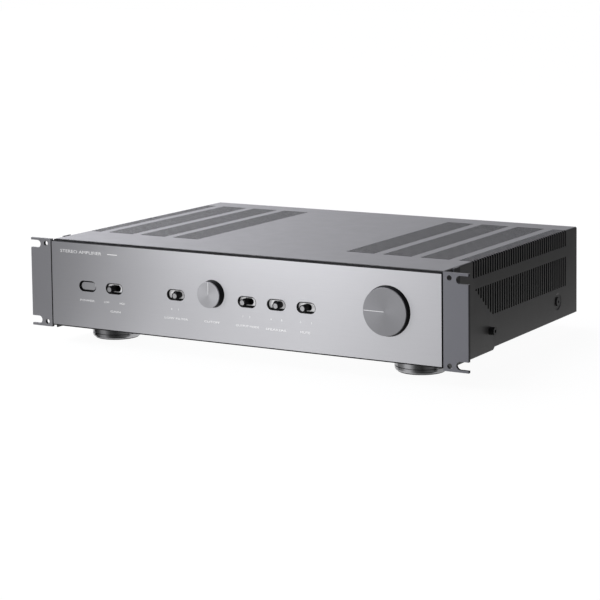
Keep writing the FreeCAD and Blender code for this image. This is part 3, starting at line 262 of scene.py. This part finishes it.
# Front panel: bead-blasted anodised aluminium on the face, black on every edge.
g = G("fascia_aluminium")
nx, ny, nz = g.normal()
px, py, pz = g.xyz()
PANEL_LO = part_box("front_panel")[0].z
border = g.span(pz, PANEL_LO + 0.0011, PANEL_LO + 0.0013)
face = g.math("MULTIPLY", g.span(g.math("MULTIPLY", ny, -1.0), 0.90, 0.97), border)
blast = g.noise(5200.0, 2.0, 0.65)
brush = g.noise(1400.0, 3.0, 0.6, (0.02, 1.0, 1.0))
slow = g.noise(5.0, 2.0)
silver = g.shade((0.60, 0.60, 0.625), slow, 0.015)
silver = g.shade(silver, blast, 0.03)
silver = g.shade(silver, brush, 0.015)
col = g.mix(face, g.shade((0.009, 0.009, 0.010), slow, 0.1), silver)
rough = g.blendf(face, g.span(blast, 0.3, 0.7, 0.55, 0.65), g.span(blast, 0.3, 0.7, 0.35, 0.40))
b1 = g.bump(blast, 0.10, 0.00001)
g.set(color=col, rough=rough, spec=g.span(face, 0, 1, 0.12, 0.5), metal=g.math("MULTIPLY", face, 0.85), normal=g.bump(brush, 0.02, 0.00001, b1))
MATS["fascia"] = g.mat

# Cover: fine-textured charcoal paint, with near-black painted shade on its front-facing edge.
paint("cover_paint", (0.036, 0.035, 0.034), 0.42, grain=3200.0, depth=0.00003, strength=0.18, tint=0.04, spec=0.6, shade_front_edge=True)
# Ears: lit and shaded copies of one grey paint; the right-hand copy is darker and bluer as painted shade for the dimmer
# light on that side.
paint("ear_paint", (0.310, 0.310, 0.326), 0.42, grain=2800.0, depth=0.00003, strength=0.2, metal=0.35, shade_walls=True)
paint("ear_paint_right_shaded", (0.200, 0.202, 0.224), 0.42, grain=2800.0, depth=0.00003, strength=0.2, metal=0.35, shade_walls=True)
paint("black_paint", (0.016, 0.016, 0.017), 0.38)
metal("zinc_sheet", (0.52, 0.53, 0.55), 0.38, stretch=(0.05, 1, 1), grain=700.0)
metal("zinc", (0.56, 0.56, 0.57), 0.32)
metal("blackened", (0.035, 0.035, 0.036), 0.36, metallic=0.6)
plastic("black_plastic", (0.018, 0.018, 0.019), 0.40)
metal("foot_plastic", (0.31, 0.31, 0.32), 0.20, grain=1500.0, strength=0.05, tint=0.04)
plastic("bezel_plastic", (0.006, 0.006, 0.006), 0.6, spec=0.15)
plastic("rubber", (0.020, 0.020, 0.020), 0.75, grain=900.0, depth=0.00005, strength=0.5)
plastic("red_plastic", (0.42, 0.018, 0.016), 0.26, strength=0.08, coat=0.3)
plastic("relay_plastic", (0.10, 0.10, 0.11), 0.4)
metal("gold_plate", (0.78, 0.60, 0.30), 0.22)
metal("brass_bar", (0.70, 0.55, 0.28), 0.3)
metal("sink_black", (0.085, 0.078, 0.074), 0.42, stretch=(1, 1, 0.03), grain=900.0, metallic=0.4)
plastic("wire_red", (0.40, 0.03, 0.02), 0.4)

# Recessed switch plates: pale satin field between black upper and lower borders; the upper border is painted shade cast
# by the recess's top edge, the lower one is darkened the same way.
g = G("switch_silver")
px, py, pz = g.xyz()
plate_lo, plate_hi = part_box("slide_switch_plates")
plate_z = (plate_lo.z + plate_hi.z) / 2
lit_field = g.math("MULTIPLY", g.span(pz, plate_z - 0.0038, plate_z - 0.0033), g.span(pz, plate_z + 0.0034, plate_z + 0.0040, 1.0, 0.0))
grain = g.noise(1500.0, 3.0, 0.6, (0.05, 1.0, 1.0))
col = g.mix(lit_field, g.shade((0.010, 0.010, 0.011), grain, 0.1), g.shade((0.92, 0.92, 0.94), grain, 0.03))
# the pale field also glows faintly (emission 0.24) as painted light
g.set(color=col, rough=g.span(grain, 0.3, 0.7, 0.38, 0.44), metal=0.25, spec=0.3, emit=g.math("MULTIPLY", lit_field, 0.24), emit_color=(1, 1, 1), normal=g.bump(grain, 0.1, 0.00001))
MATS["switch_silver"] = g.mat

# Power button: silver lacquer on the face, with a soft edge.
metal("button_silver", (0.42, 0.42, 0.44), 0.42, stretch=(0.05, 1, 1), grain=1800.0, metallic=0.7)

g = G("button_lacquer")
ny = g.normal()[1]
front = g.span(g.math("MULTIPLY", ny, -1.0), 0.75, 0.9)
grain = g.noise(1800.0, 3.0, 0.6, (0.05, 1.0, 1.0))
col = g.mix(front, g.shade((0.008, 0.008, 0.009), grain, 0.1), g.shade((0.58, 0.58, 0.60), grain, 0.03))
g.set(color=col, rough=g.blendf(front, 0.55, g.span(grain, 0.3, 0.7, 0.32, 0.38)), metal=g.math("MULTIPLY", front, 0.85), spec=g.span(front, 0, 1, 0.15, 0.5), normal=g.bump(grain, 0.1, 0.00001))
MATS["button_lacquer"] = g.mat

# Screen-printed ink and the inlaid pointer lines.
g = G("pale_ink")
grain = g.noise(4000.0, 2.0)
# the ink glows faintly (emission 0.30) as painted light on top of its pale colour
g.set(color=g.shade((0.92, 0.92, 0.92), grain, 0.04), rough=g.span(grain, 0.3, 0.7, 0.36, 0.44), metal=0.45, emit=0.30, emit_color=(1, 1, 1), normal=g.bump(grain, 0.1, 0.00001))
MATS["pale_ink"] = g.mat

g = G("pointer_line")
grain = g.noise(4000.0, 2.0)
# the pointer lines glow faintly (emission 0.10) as painted light
g.set(color=g.shade((0.80, 0.80, 0.82), grain, 0.04), rough=g.span(grain, 0.3, 0.7, 0.36, 0.44), metal=0.55, emit=0.10, emit_color=(1, 1, 1), normal=g.bump(grain, 0.1, 0.00001))
MATS["pointer_line"] = g.mat

# Circuit board: green mask over copper tracks.
g = G("circuit_board")
x, y, z = g.xyz()
tracks = g.new("ShaderNodeTexBrick")
m = g.new("ShaderNodeMapping"); m.inputs["Scale"].default_value = (260.0, 260.0, 260.0)
g.link(g.pos(), m.inputs[0]); g.link(m.outputs[0], tracks.inputs["Vector"])
tracks.inputs["Color1"].default_value = (0.012, 0.085, 0.035, 1)
tracks.inputs["Color2"].default_value = (0.020, 0.120, 0.050, 1)
tracks.inputs["Mortar"].default_value = (0.008, 0.050, 0.022, 1)
tracks.inputs["Mortar Size"].default_value = 0.05
pads = g.span(g.voronoi(170.0), 0.10, 0.13, 1.0, 0.0)
col = g.mix(g.math("MULTIPLY", pads, 0.8), tracks.outputs["Color"], (0.62, 0.62, 0.60))
g.set(color=col, rough=g.span(pads, 0, 1, 0.32, 0.22), metal=g.math("MULTIPLY", pads, 0.7), coat=0.2, normal=g.bump(tracks.outputs["Fac"], 0.2, 0.00003))
MATS["circuit_board"] = g.mat

# Toroid: amber tape laid round the ring over copper.
g = G("winding_tape")
core = g.vec("SUBTRACT", g.pos(), (0.0, 0.112 - 0.1535, 0.0))
x, y, z = g.xyz(core.outputs[0])
turn = g.math("ARCTAN2", y, x)
wraps = g.new("ShaderNodeTexWave", wave_type="BANDS", bands_direction="X")
cmb = g.new("ShaderNodeCombineXYZ")
g.link(g.math("MULTIPLY", turn, 14.0), cmb.inputs[0])
g.link(cmb.outputs[0], wraps.inputs["Vector"])
wraps.inputs["Scale"].default_value = 1.0
wraps.inputs["Distortion"].default_value = 0.4
col = g.mix(wraps.outputs["Fac"], (0.30, 0.20, 0.05), (0.46, 0.33, 0.09))
col = g.shade(col, g.noise(220.0), 0.12)
g.set(color=col, rough=g.span(wraps.outputs["Fac"], 0, 1, 0.25, 0.4), coat=0.4, normal=g.bump(wraps.outputs["Fac"], 0.5, 0.0004))
MATS["winding_tape"] = g.mat

# Capacitor sleeves: dark blue shrink with a bare aluminium top.
g = G("capacitor_sleeve")
nx, ny, nz = g.normal()
topm = g.span(nz, 0.8, 0.95)
col = g.mix(topm, g.shade((0.020, 0.035, 0.12), g.noise(60.0), 0.15), g.shade((0.6, 0.6, 0.62), g.noise(900.0), 0.06))
g.set(color=col, rough=g.span(topm, 0, 1, 0.28, 0.35), metal=topm, coat=g.span(topm, 0, 1, 0.4, 0.0), normal=g.bump(g.noise(500.0), 0.2, 0.00004))
MATS["capacitor_sleeve"] = g.mat

# Flat grey ribbon with its conductors showing.
g = G("ribbon_pvc")
x, y, z = g.xyz()
cond = g.math("SINE", g.math("MULTIPLY", x, 2 * math.pi / 0.00127))
col = g.mix(g.span(cond, -1, 1), (0.20, 0.21, 0.22), (0.34, 0.35, 0.37))
g.set(color=col, rough=g.span(g.noise(100.0), 0.3, 0.7, 0.42, 0.52), normal=g.bump(cond, 0.5, 0.0002))
MATS["ribbon_pvc"] = g.mat

# Slide levers: black moulding with a silver-foiled end face.
LEVER_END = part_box("slide_lever_1")[0].y
g = G("lever")
nx, ny, nz = g.normal()
x, y, z = g.xyz()
end = g.math("MULTIPLY", g.span(g.math("MULTIPLY", ny, -1.0), 0.80, 0.90), g.math("MULTIPLY", g.span(y, LEVER_END + 0.00015, LEVER_END + 0.00022), g.span(y, LEVER_END + 0.0009, LEVER_END + 0.0012, 1.0, 0.0)))
grain = g.noise(2600.0, 2.0)
col = g.mix(end, g.shade((0.013, 0.013, 0.014), grain, 0.2), g.shade((0.44, 0.44, 0.45), grain, 0.05))
g.set(color=col, spec=g.span(end, 0, 1, 0.15, 0.5), rough=g.blendf(end, g.span(grain, 0.3, 0.7, 0.42, 0.5), g.span(grain, 0.3, 0.7, 0.32, 0.4)), metal=g.math("MULTIPLY", end, 0.75), normal=g.bump(grain, 0.15, 0.00002))
MATS["lever"] = g.mat

# Knob bodies: black moulded plastic.
plastic("knob_black", (0.006, 0.006, 0.007), 0.42, grain=2400.0, strength=0.08, spec=0.25)


def spun(name, node, color, rough, lines):
    """Metal disc with a turned face: rings round its own centre and a radial sheen."""
    lo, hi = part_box(node)
    c = (lo + hi) / 2
    g = G(name)
    rel = g.vec("SUBTRACT", g.pos(), tuple(c))
    x, y, z = g.xyz(rel.outputs[0])
    r = g.math("SQRT", g.math("ADD", g.math("MULTIPLY", x, x), g.math("MULTIPLY", z, z)))
    comb = g.new("ShaderNodeCombineXYZ")
    g.link(g.math("MULTIPLY", r, 1.0), comb.inputs[0])
    rings = g.noise(lines, 3.0, 0.7, vector=comb.outputs[0])
    speck = g.noise(3000.0, 2.0)
    col = g.shade(color, rings, 0.07)
    col = g.shade(col, speck, 0.03)
    tan = g.vec("CROSS_PRODUCT", rel.outputs[0], (0.0, 1.0, 0.0))
    tan = g.vec("NORMALIZE", tan.outputs[0])
    tr = g.new("ShaderNodeVectorTransform", vector_type="VECTOR", convert_from="OBJECT", convert_to="WORLD")
    g.link(tan.outputs[0], tr.inputs[0])
    g.set(color=col, rough=g.span(rings, 0.3, 0.7, rough - 0.04, rough + 0.05), metal=0.9, aniso=0.38, tangent=tr.outputs[0],
          normal=g.bump(rings, 0.25, 0.00002))
    MATS[name] = g.mat


# painted shade: the level disc is a darker copy of the filter disc's spun metal, standing in for the dimmer light it
# gets
spun("spun_level_shaded", "level_knob_disc", (0.285, 0.285, 0.30), 0.38, 2600.0)
spun("spun_filter", "filter_knob_disc", (0.42, 0.42, 0.44), 0.36, 2600.0)

USE = {
    "front_panel": "fascia", "front_subpanel": "black_paint", "front_panel_screws": "zinc",
    "left_rack_ear": "ear_paint", "right_rack_ear": "ear_paint_right_shaded", "rack_ear_screws": "blackened",
    "top_cover": "cover_paint", "case_screws": "blackened", "base_tray": "zinc_sheet", "rear_panel": "black_paint",
    "foot_bodies": "foot_plastic", "foot_pads": "rubber", "foot_screws": "zinc",
    "power_button_bezel": "bezel_plastic", "power_button": "button_lacquer", "power_switch": "black_plastic",
    "slide_switch_bezels": "bezel_plastic", "slide_switch_plates": "switch_silver", "slide_switch_bodies": "black_plastic",
    "level_knob": "knob_black", "level_knob_disc": "spun_level_shaded", "level_shaft": "zinc", "level_control": "zinc",
    "filter_knob": "knob_black", "filter_knob_disc": "spun_filter", "filter_shaft": "zinc", "filter_control": "zinc",
    "control_nuts": "zinc", "control_board": "circuit_board",
    "transformer": "winding_tape", "transformer_pads": "rubber", "transformer_plate": "black_paint", "transformer_bolt": "zinc",
    "supply_board": "circuit_board", "amplifier_boards": "circuit_board", "capacitors": "capacitor_sleeve",
    "bridge_rectifier": "black_plastic", "output_relays": "relay_plastic", "left_heatsink": "sink_black", "right_heatsink": "sink_black",
    "output_transistors": "black_plastic", "board_standoffs": "brass_bar", "power_leads": "wire_red", "ribbon_cable": "ribbon_pvc",
    "mains_inlet": "black_plastic", "fuse_drawer": "black_plastic", "input_block": "black_plastic", "input_sockets": "gold_plate",
    "trigger_jacks": "black_plastic", "post_bases": "black_plastic", "speaker_posts": "gold_plate",
    "left_positive_nut": "red_plastic", "right_positive_nut": "red_plastic", "left_negative_nut": "black_plastic", "right_negative_nut": "black_plastic",
}
for i in range(1, 6):
    USE["slide_lever_%d" % i] = "lever"

for name, obj in NODES.items():
    obj.data.materials.clear()
    obj.data.materials.append(MATS[USE[name]])
    for p in obj.data.polygons:
        p.material_index = 0
        p.use_smooth = True
    obj.data.set_sharp_from_angle(angle=math.radians(32.0))

# ---------------------------------------------------------------------------
# Printed marks and pointer lines
# ---------------------------------------------------------------------------

for name in ("level_knob", "filter_knob", "level_knob_disc", "filter_knob_disc"):
    NODES[name].visible_glossy = False

Y_ROW, Z_ROW = -0.1535, 0.0130
FASCIA_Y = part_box("front_panel")[0].y
REAR_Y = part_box("rear_panel")[1].y
INK = 0.00004


def finish_mesh(name, bm, mat, body):
    bmesh.ops.remove_doubles(bm, verts=bm.verts, dist=1e-7)
    bmesh.ops.dissolve_degenerate(bm, edges=bm.edges, dist=1e-7)
    bmesh.ops.recalc_face_normals(bm, faces=bm.faces)
    me = bpy.data.meshes.new(name)
    bm.to_mesh(me)
    bm.free()
    me.materials.append(mat)
    ob = bpy.data.objects.new(name, me)
    scene.collection.objects.link(ob)
    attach(ob, body)
    return ob


def words(name, text, x, z, height, width=None, y=None, rear=False):
    """Printed lettering centred on (x, z) mm: cap height and, if given, total width in mm."""
    cu = bpy.data.curves.new(name + "_curve", "FONT")
    cu.body = text
    cu.size = 1.0
    cu.resolution_u = 3
    cu.extrude = 0.5
    tmp = bpy.data.objects.new(name + "_tmp", cu)
    scene.collection.objects.link(tmp)
    bpy.context.view_layer.update()
    me = bpy.data.meshes.new_from_object(tmp.evaluated_get(bpy.context.evaluated_depsgraph_get()))
    bpy.data.objects.remove(tmp)
    bm = bmesh.new()
    bm.from_mesh(me)
    bpy.data.meshes.remove(me)
    xs = [v.co.x for v in bm.verts]
    ys = [v.co.y for v in bm.verts]
    sy = height / 1000.0 / (max(ys) - min(ys))
    sx = sy if width is None else width / 1000.0 / (max(xs) - min(xs))
    mx, my = (max(xs) + min(xs)) / 2, (max(ys) + min(ys)) / 2
    side = 1.0 if rear else -1.0
    base = (REAR_Y if y is None else y) if rear else FASCIA_Y
    for v in bm.verts:
        u, w, d = (v.co.x - mx) * sx, (v.co.y - my) * sy, v.co.z + 0.5
        v.co = Vector((x / 1000.0 - side * u, base + side * d * INK, z / 1000.0 + Z_ROW + w))
    return finish_mesh(name, bm, MATS["pale_ink"], "chassis")


def stripe(name, a, b, half, y, body):
    """Thin raised line with round ends from a to b, (x, z) in metres, standing just ahead of y."""
    ax, az = a
    bx, bz = b
    turn = math.atan2(bz - az, bx - ax)
    ring = []
    for i in range(9):
        t = turn - math.pi / 2 + math.pi * i / 8
        ring.append((bx + half * math.cos(t), bz + half * math.sin(t)))
    for i in range(9):
        t = turn + math.pi / 2 + math.pi * i / 8
        ring.append((ax + half * math.cos(t), az + half * math.sin(t)))
    bm = bmesh.new()
    fr = [bm.verts.new((px, y - 0.00006, pz)) for px, pz in ring]
    bk = [bm.verts.new((px, y, pz)) for px, pz in ring]
    n = len(ring)
    bm.faces.new(fr)
    bm.faces.new(bk[::-1])
    for i in range(n):
        j = (i + 1) % n
        bm.faces.new((fr[i], bk[i], bk[j], fr[j]))
    return finish_mesh(name, bm, MATS["pale_ink" if body == "chassis" else "pointer_line"], body)


words("print_power", "POWER", -172.4, 30.1, 1.9, 17.5)
words("print_gain_low", "LOW", -149.0, 30.4, 1.9)
words("print_gain_high", "HIGH", -130.6, 30.4, 1.9)
words("print_gain", "GAIN", -138.8, 21.7, 1.9, 12.0)
words("print_pass_0", "0", -72.4, 30.4, 1.9)
words("print_pass_1", "1", -64.7, 30.4, 1.9)
words("print_pass", "LOW FILTER", -67.3, 21.5, 1.9, 27.0)
words("print_filter", "CUTOFF", -26.6, 21.8, 1.9, 17.5)
words("print_mode_1", "1", 8.0, 30.2, 1.9)
words("print_mode_2", "2", 15.6, 30.2, 1.9)
words("print_mode", "OUTPUT MODE", 12.8, 21.3, 1.9, 25.5)
words("print_input_a", "A", 39.0, 30.2, 1.9)
words("print_input_b", "B", 50.4, 30.2, 1.9)
words("print_input", "SPEAKERS", 43.9, 20.8, 1.9, 22.0)
words("print_mute_0", "0", 70.6, 30.4, 1.9)
words("print_mute_1", "1", 82.4, 30.4, 1.9)
words("print_mute", "MUTE", 75.5, 21.1, 1.9, 10.2)
words("print_type", "STEREO AMPLIFIER", -179.5, 77.45, 3.0, 50.0)
stripe("print_dash", (-0.1470, 0.07745 + Z_ROW), (-0.1360, 0.07745 + Z_ROW), 0.0004, FASCIA_Y, "chassis")

for node, sign in (("left_positive_nut", "+"), ("left_negative_nut", "-"), ("right_positive_nut", "+"), ("right_negative_nut", "-")):
    lo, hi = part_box(node)
    words("print_" + node, sign, (lo.x + hi.x) * 500.0, (hi.z - Z_ROW) * 1000.0 + 5.0, 2.4 if sign == "+" else 0.5, 2.4, rear=True)
lo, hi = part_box("left_positive_nut")
l2, h2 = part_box("left_negative_nut")
words("print_posts_left", "LEFT", (lo.x + h2.x) * 500.0, (lo.z - Z_ROW) * 1000.0 - 7.0, 2.4, rear=True)
lo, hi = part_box("right_positive_nut")
l2, h2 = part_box("right_negative_nut")
words("print_posts_right", "RIGHT", (lo.x + h2.x) * 500.0, (lo.z - Z_ROW) * 1000.0 - 7.0, 2.4, rear=True)

lo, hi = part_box("level_knob_disc")
cx, cz = (lo.x + hi.x) / 2, (lo.z + hi.z) / 2
stripe("level_pointer", (cx - 0.0208, cz), (cx - 0.0010, cz), 0.00032, lo.y, "level_knob")
lo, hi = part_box("filter_knob_disc")
cx, cz = (lo.x + hi.x) / 2, (lo.z + hi.z) / 2
stripe("filter_pointer", (cx, cz + 0.0008), (cx, cz + 0.0116), 0.00032, lo.y, "filter_knob")

# ---------------------------------------------------------------------------
# Camera, floor and light
# ---------------------------------------------------------------------------

AZ, EL, ROLL = math.radians(30.8362), math.radians(5.5012), math.radians(-0.6957)
back = Vector((math.sin(AZ) * math.cos(EL), -math.cos(AZ) * math.cos(EL), math.sin(EL)))
right0 = (-back).cross(Vector((0, 0, 1))).normalized()
up0 = right0.cross(-back)
right = math.cos(ROLL) * right0 + math.sin(ROLL) * up0
up = -math.sin(ROLL) * right0 + math.cos(ROLL) * up0
origin = Vector((0.0724176, -0.0028 + Y_ROW, 0.2071485 + Z_ROW)) + back * 1.7749428
cam_data = bpy.data.cameras.new("camera")
cam = bpy.data.objects.new("camera", cam_data)
scene.collection.objects.link(cam)
from mathutils import Matrix
m = Matrix((right, up, back)).transposed().to_4x4()
m.translation = origin
cam.matrix_world = m
cam_data.sensor_fit = "HORIZONTAL"
cam_data.sensor_width = 36.0
cam_data.lens = 36.0 * 1954.6983 / 600.0
# The vertical lens shift belongs to this camera position; from any other position the lens is centred.
SHIFT = (130.3847 - 300.0) / 600.0
rise = cam_data.driver_add("shift_y")
rise.driver.type = "AVERAGE"
spot = bpy.data.objects.new("main_view_spot", None)
spot.location = origin
scene.collection.objects.link(spot)
away = rise.driver.variables.new()
away.type = "LOC_DIFF"
away.targets[0].id = cam
away.targets[1].id = spot
while rise.modifiers:
    rise.modifiers.remove(rise.modifiers[0])
while rise.keyframe_points:
    rise.keyframe_points.remove(rise.keyframe_points[0])
for metres, value in ((0.0, SHIFT), (0.03, SHIFT), (0.06, 0.0)):
    rise.keyframe_points.insert(metres, value).interpolation = "LINEAR"
rise.extrapolation = "CONSTANT"
cam_data.clip_start, cam_data.clip_end = 0.01, 100.0
scene.camera = cam
scene.view_settings.view_transform = "Standard"
scene.view_settings.look = "None"

fm = bpy.data.meshes.new("floor")
bm = bmesh.new()
bmesh.ops.create_grid(bm, x_segments=1, y_segments=1, size=8.0)
bm.to_mesh(fm)
bm.free()
floor = bpy.data.objects.new("floor", fm)
floor.location = (0, 0, -0.0002)
scene.collection.objects.link(floor)
# White to the camera with the faintest shade; satin faces see a sweep that falls off to the left.
g = G("floor_paper")
g.set(color=g.shade((0.86, 0.86, 0.86), g.noise(3.0), 0.01), rough=0.8, spec=0.05)
path = g.new("ShaderNodeLightPath")
x, y, z = g.xyz()
ramp = g.new("ShaderNodeValToRGB")
ramp.color_ramp.interpolation = "EASE"
# The sweep is laid out along the row's X and followed back along the ray towards the panel, so it runs level up the face.
BACK, SPAN = 0.75, (-0.6, 0.8)
OFFSET = 0.174 * BACK
SWEEP = [(-0.60, 0.10), (-0.42, 0.21), (-0.36, 0.37), (-0.30, 0.64), (-0.22, 1.00), (-0.14, 1.18), (-0.07, 1.30), (0.02, 1.13), (0.12, 0.92), (0.35, 0.28), (0.60, 0.11)]
while len(ramp.color_ramp.elements) < len(SWEEP):
    ramp.color_ramp.elements.new(0.5)
for e, (px, v) in zip(ramp.color_ramp.elements, SWEEP):
    e.position = (px + OFFSET - SPAN[0]) / (SPAN[1] - SPAN[0])
    e.color = (v / 1.5, v / 1.5, v / 1.5, 1.0)
sweep = g.new("ShaderNodeEmission")
inc = g.xyz(g.vec("SCALE", g.geo.outputs["Incoming"], -1.0).outputs[0])
aim = g.new("ShaderNodeValToRGB")
AIM = [(-1.0, 0.25), (-0.84, 0.40), (-0.70, 1.0), (-0.40, 1.0), (-0.28, 0.60), (-0.02, 0.14), (0.50, 0.06), (1.0, 0.28)]
while len(aim.color_ramp.elements) < len(AIM):
    aim.color_ramp.elements.new(0.5)
for e, (px, v) in zip(aim.color_ramp.elements, AIM):
    e.position = (px + 1.0) / 2.0
    e.color = (v, v, v, 1.0)
g.link(g.span(inc[0], -1.0, 1.0), aim.inputs[0])
toward_rear = g.span(inc[1], 0.0, 0.2)
lean = g.math("DIVIDE", inc[0], g.math("MINIMUM", inc[1], -0.05))
back_x = g.math("MULTIPLY", g.math("MULTIPLY", lean, g.math("SUBTRACT", y, FASCIA_Y)), -BACK)
g.link(g.span(g.math("ADD", x, g.blendf(toward_rear, back_x, OFFSET)), SPAN[0], SPAN[1]), ramp.inputs[0])
aimed = g.mix(toward_rear, aim.outputs[0], (1.0, 1.0, 1.0))
g.link(g.vec("MULTIPLY", ramp.outputs[0], aimed).outputs[0], sweep.inputs["Color"])
sweep.inputs["Strength"].default_value = 1.5
paper = g.new("ShaderNodeEmission")
paper.inputs["Strength"].default_value = 0.94
bounce = g.new("ShaderNodeEmission")
bounce.inputs["Strength"].default_value = 0.40
add = g.new("ShaderNodeAddShader")
dim = g.new("ShaderNodeMixShader")
dim.inputs[0].default_value = 0.88
g.link(g.bsdf.outputs[0], dim.inputs[1])
black = g.new("ShaderNodeEmission")
black.inputs["Strength"].default_value = 0.0
g.link(black.outputs[0], dim.inputs[2])
g.link(paper.outputs[0], add.inputs[0])
g.link(dim.outputs[0], add.inputs[1])
m1 = g.new("ShaderNodeMixShader")
g.link(path.outputs["Is Glossy Ray"], m1.inputs[0])
g.link(bounce.outputs[0], m1.inputs[1])
g.link(sweep.outputs[0], m1.inputs[2])
m2 = g.new("ShaderNodeMixShader")
g.link(path.outputs["Is Camera Ray"], m2.inputs[0])
g.link(m1.outputs[0], m2.inputs[1])
g.link(add.outputs[0], m2.inputs[2])
g.link(m2.outputs[0], g.out.inputs[0])
floor.data.materials.append(g.mat)

world = bpy.data.worlds.new("studio")
scene.world = world
world.use_nodes = True
wn = world.node_tree
wn.nodes.clear()
wo = wn.nodes.new("ShaderNodeOutputWorld")
bg = wn.nodes.new("ShaderNodeBackground")
bg.inputs["Color"].default_value = (1, 1, 1, 1)
bg.inputs["Strength"].default_value = 1.0
# Soft box behind and to the left, dark studio to the right.
tcw = wn.nodes.new("ShaderNodeTexCoord")
sep = wn.nodes.new("ShaderNodeSeparateXYZ")
wn.links.new(tcw.outputs["Generated"], sep.inputs[0])
mr = wn.nodes.new("ShaderNodeMapRange")
mr.inputs["From Min"].default_value, mr.inputs["From Max"].default_value = -1.0, 1.0
wn.links.new(sep.outputs[0], mr.inputs["Value"])


def sky(stops, top):
    wr = wn.nodes.new("ShaderNodeValToRGB")
    wr.color_ramp.interpolation = "EASE"
    while len(wr.color_ramp.elements) < len(stops):
        wr.color_ramp.elements.new(0.5)
    for e, (px, v) in zip(wr.color_ramp.elements, stops):
        e.position = (px + 1.0) / 2.0
        e.color = (v / top, v / top, min(1.0, v / top * 1.07), 1.0)
    wn.links.new(mr.outputs[0], wr.inputs[0])
    return wr.outputs[0]


rear_sky = sky([(-1.0, 1.4), (-0.66, 3.2), (-0.56, 2.45), (-0.50, 1.63), (-0.46, 1.20), (-0.2, 0.6), (0.1, 0.32), (0.4, 0.13), (1.0, 0.10)], 3.5)
front_sky = sky([(-1.0, 0.25), (-0.72, 0.18), (-0.60, 0.28), (-0.55, 0.50), (-0.50, 0.66), (-0.44, 0.60), (-0.30, 0.42), (0.1, 0.30), (0.4, 0.16), (1.0, 0.12)], 3.5)
side_mix = wn.nodes.new("ShaderNodeMapRange")
side_mix.inputs["From Min"].default_value, side_mix.inputs["From Max"].default_value = -0.15, 0.15
wn.links.new(sep.outputs[1], side_mix.inputs["Value"])
skies = wn.nodes.new("ShaderNodeMix")
skies.data_type = "RGBA"
wn.links.new(side_mix.outputs[0], skies.inputs["Factor"])
wn.links.new(front_sky, skies.inputs["A"])
wn.links.new(rear_sky, skies.inputs["B"])
soft = wn.nodes.new("ShaderNodeBackground")
soft.inputs["Strength"].default_value = 3.5
wn.links.new(skies.outputs["Result"], soft.inputs["Color"])
lp = wn.nodes.new("ShaderNodeLightPath")
mixw = wn.nodes.new("ShaderNodeMixShader")
wn.links.new(lp.outputs["Is Camera Ray"], mixw.inputs[0])
wn.links.new(soft.outputs[0], mixw.inputs[1])
wn.links.new(bg.outputs[0], mixw.inputs[2])
wn.links.new(mixw.outputs[0], wo.inputs[0])


def area(name, loc, target, size, power, size_y=None):
    d = bpy.data.lights.new(name, "AREA")
    d.shape = "RECTANGLE"
    d.size = size
    d.size_y = size_y or size
    d.energy = power
    o = bpy.data.objects.new(name, d)
    o.location = loc
    o.rotation_euler = (Vector(target) - Vector(loc)).to_track_quat("-Z", "Y").to_euler()
    scene.collection.objects.link(o)
    return o


area("key", (-1.4, -0.6, 1.9), (0, 0, 0.05), 1.6, 14)
near = area("near_panel", (-0.20, -0.56, 0.11), (0.02, -0.157, 0.057), 0.26, 0.22, 0.12)
near.visible_camera = False
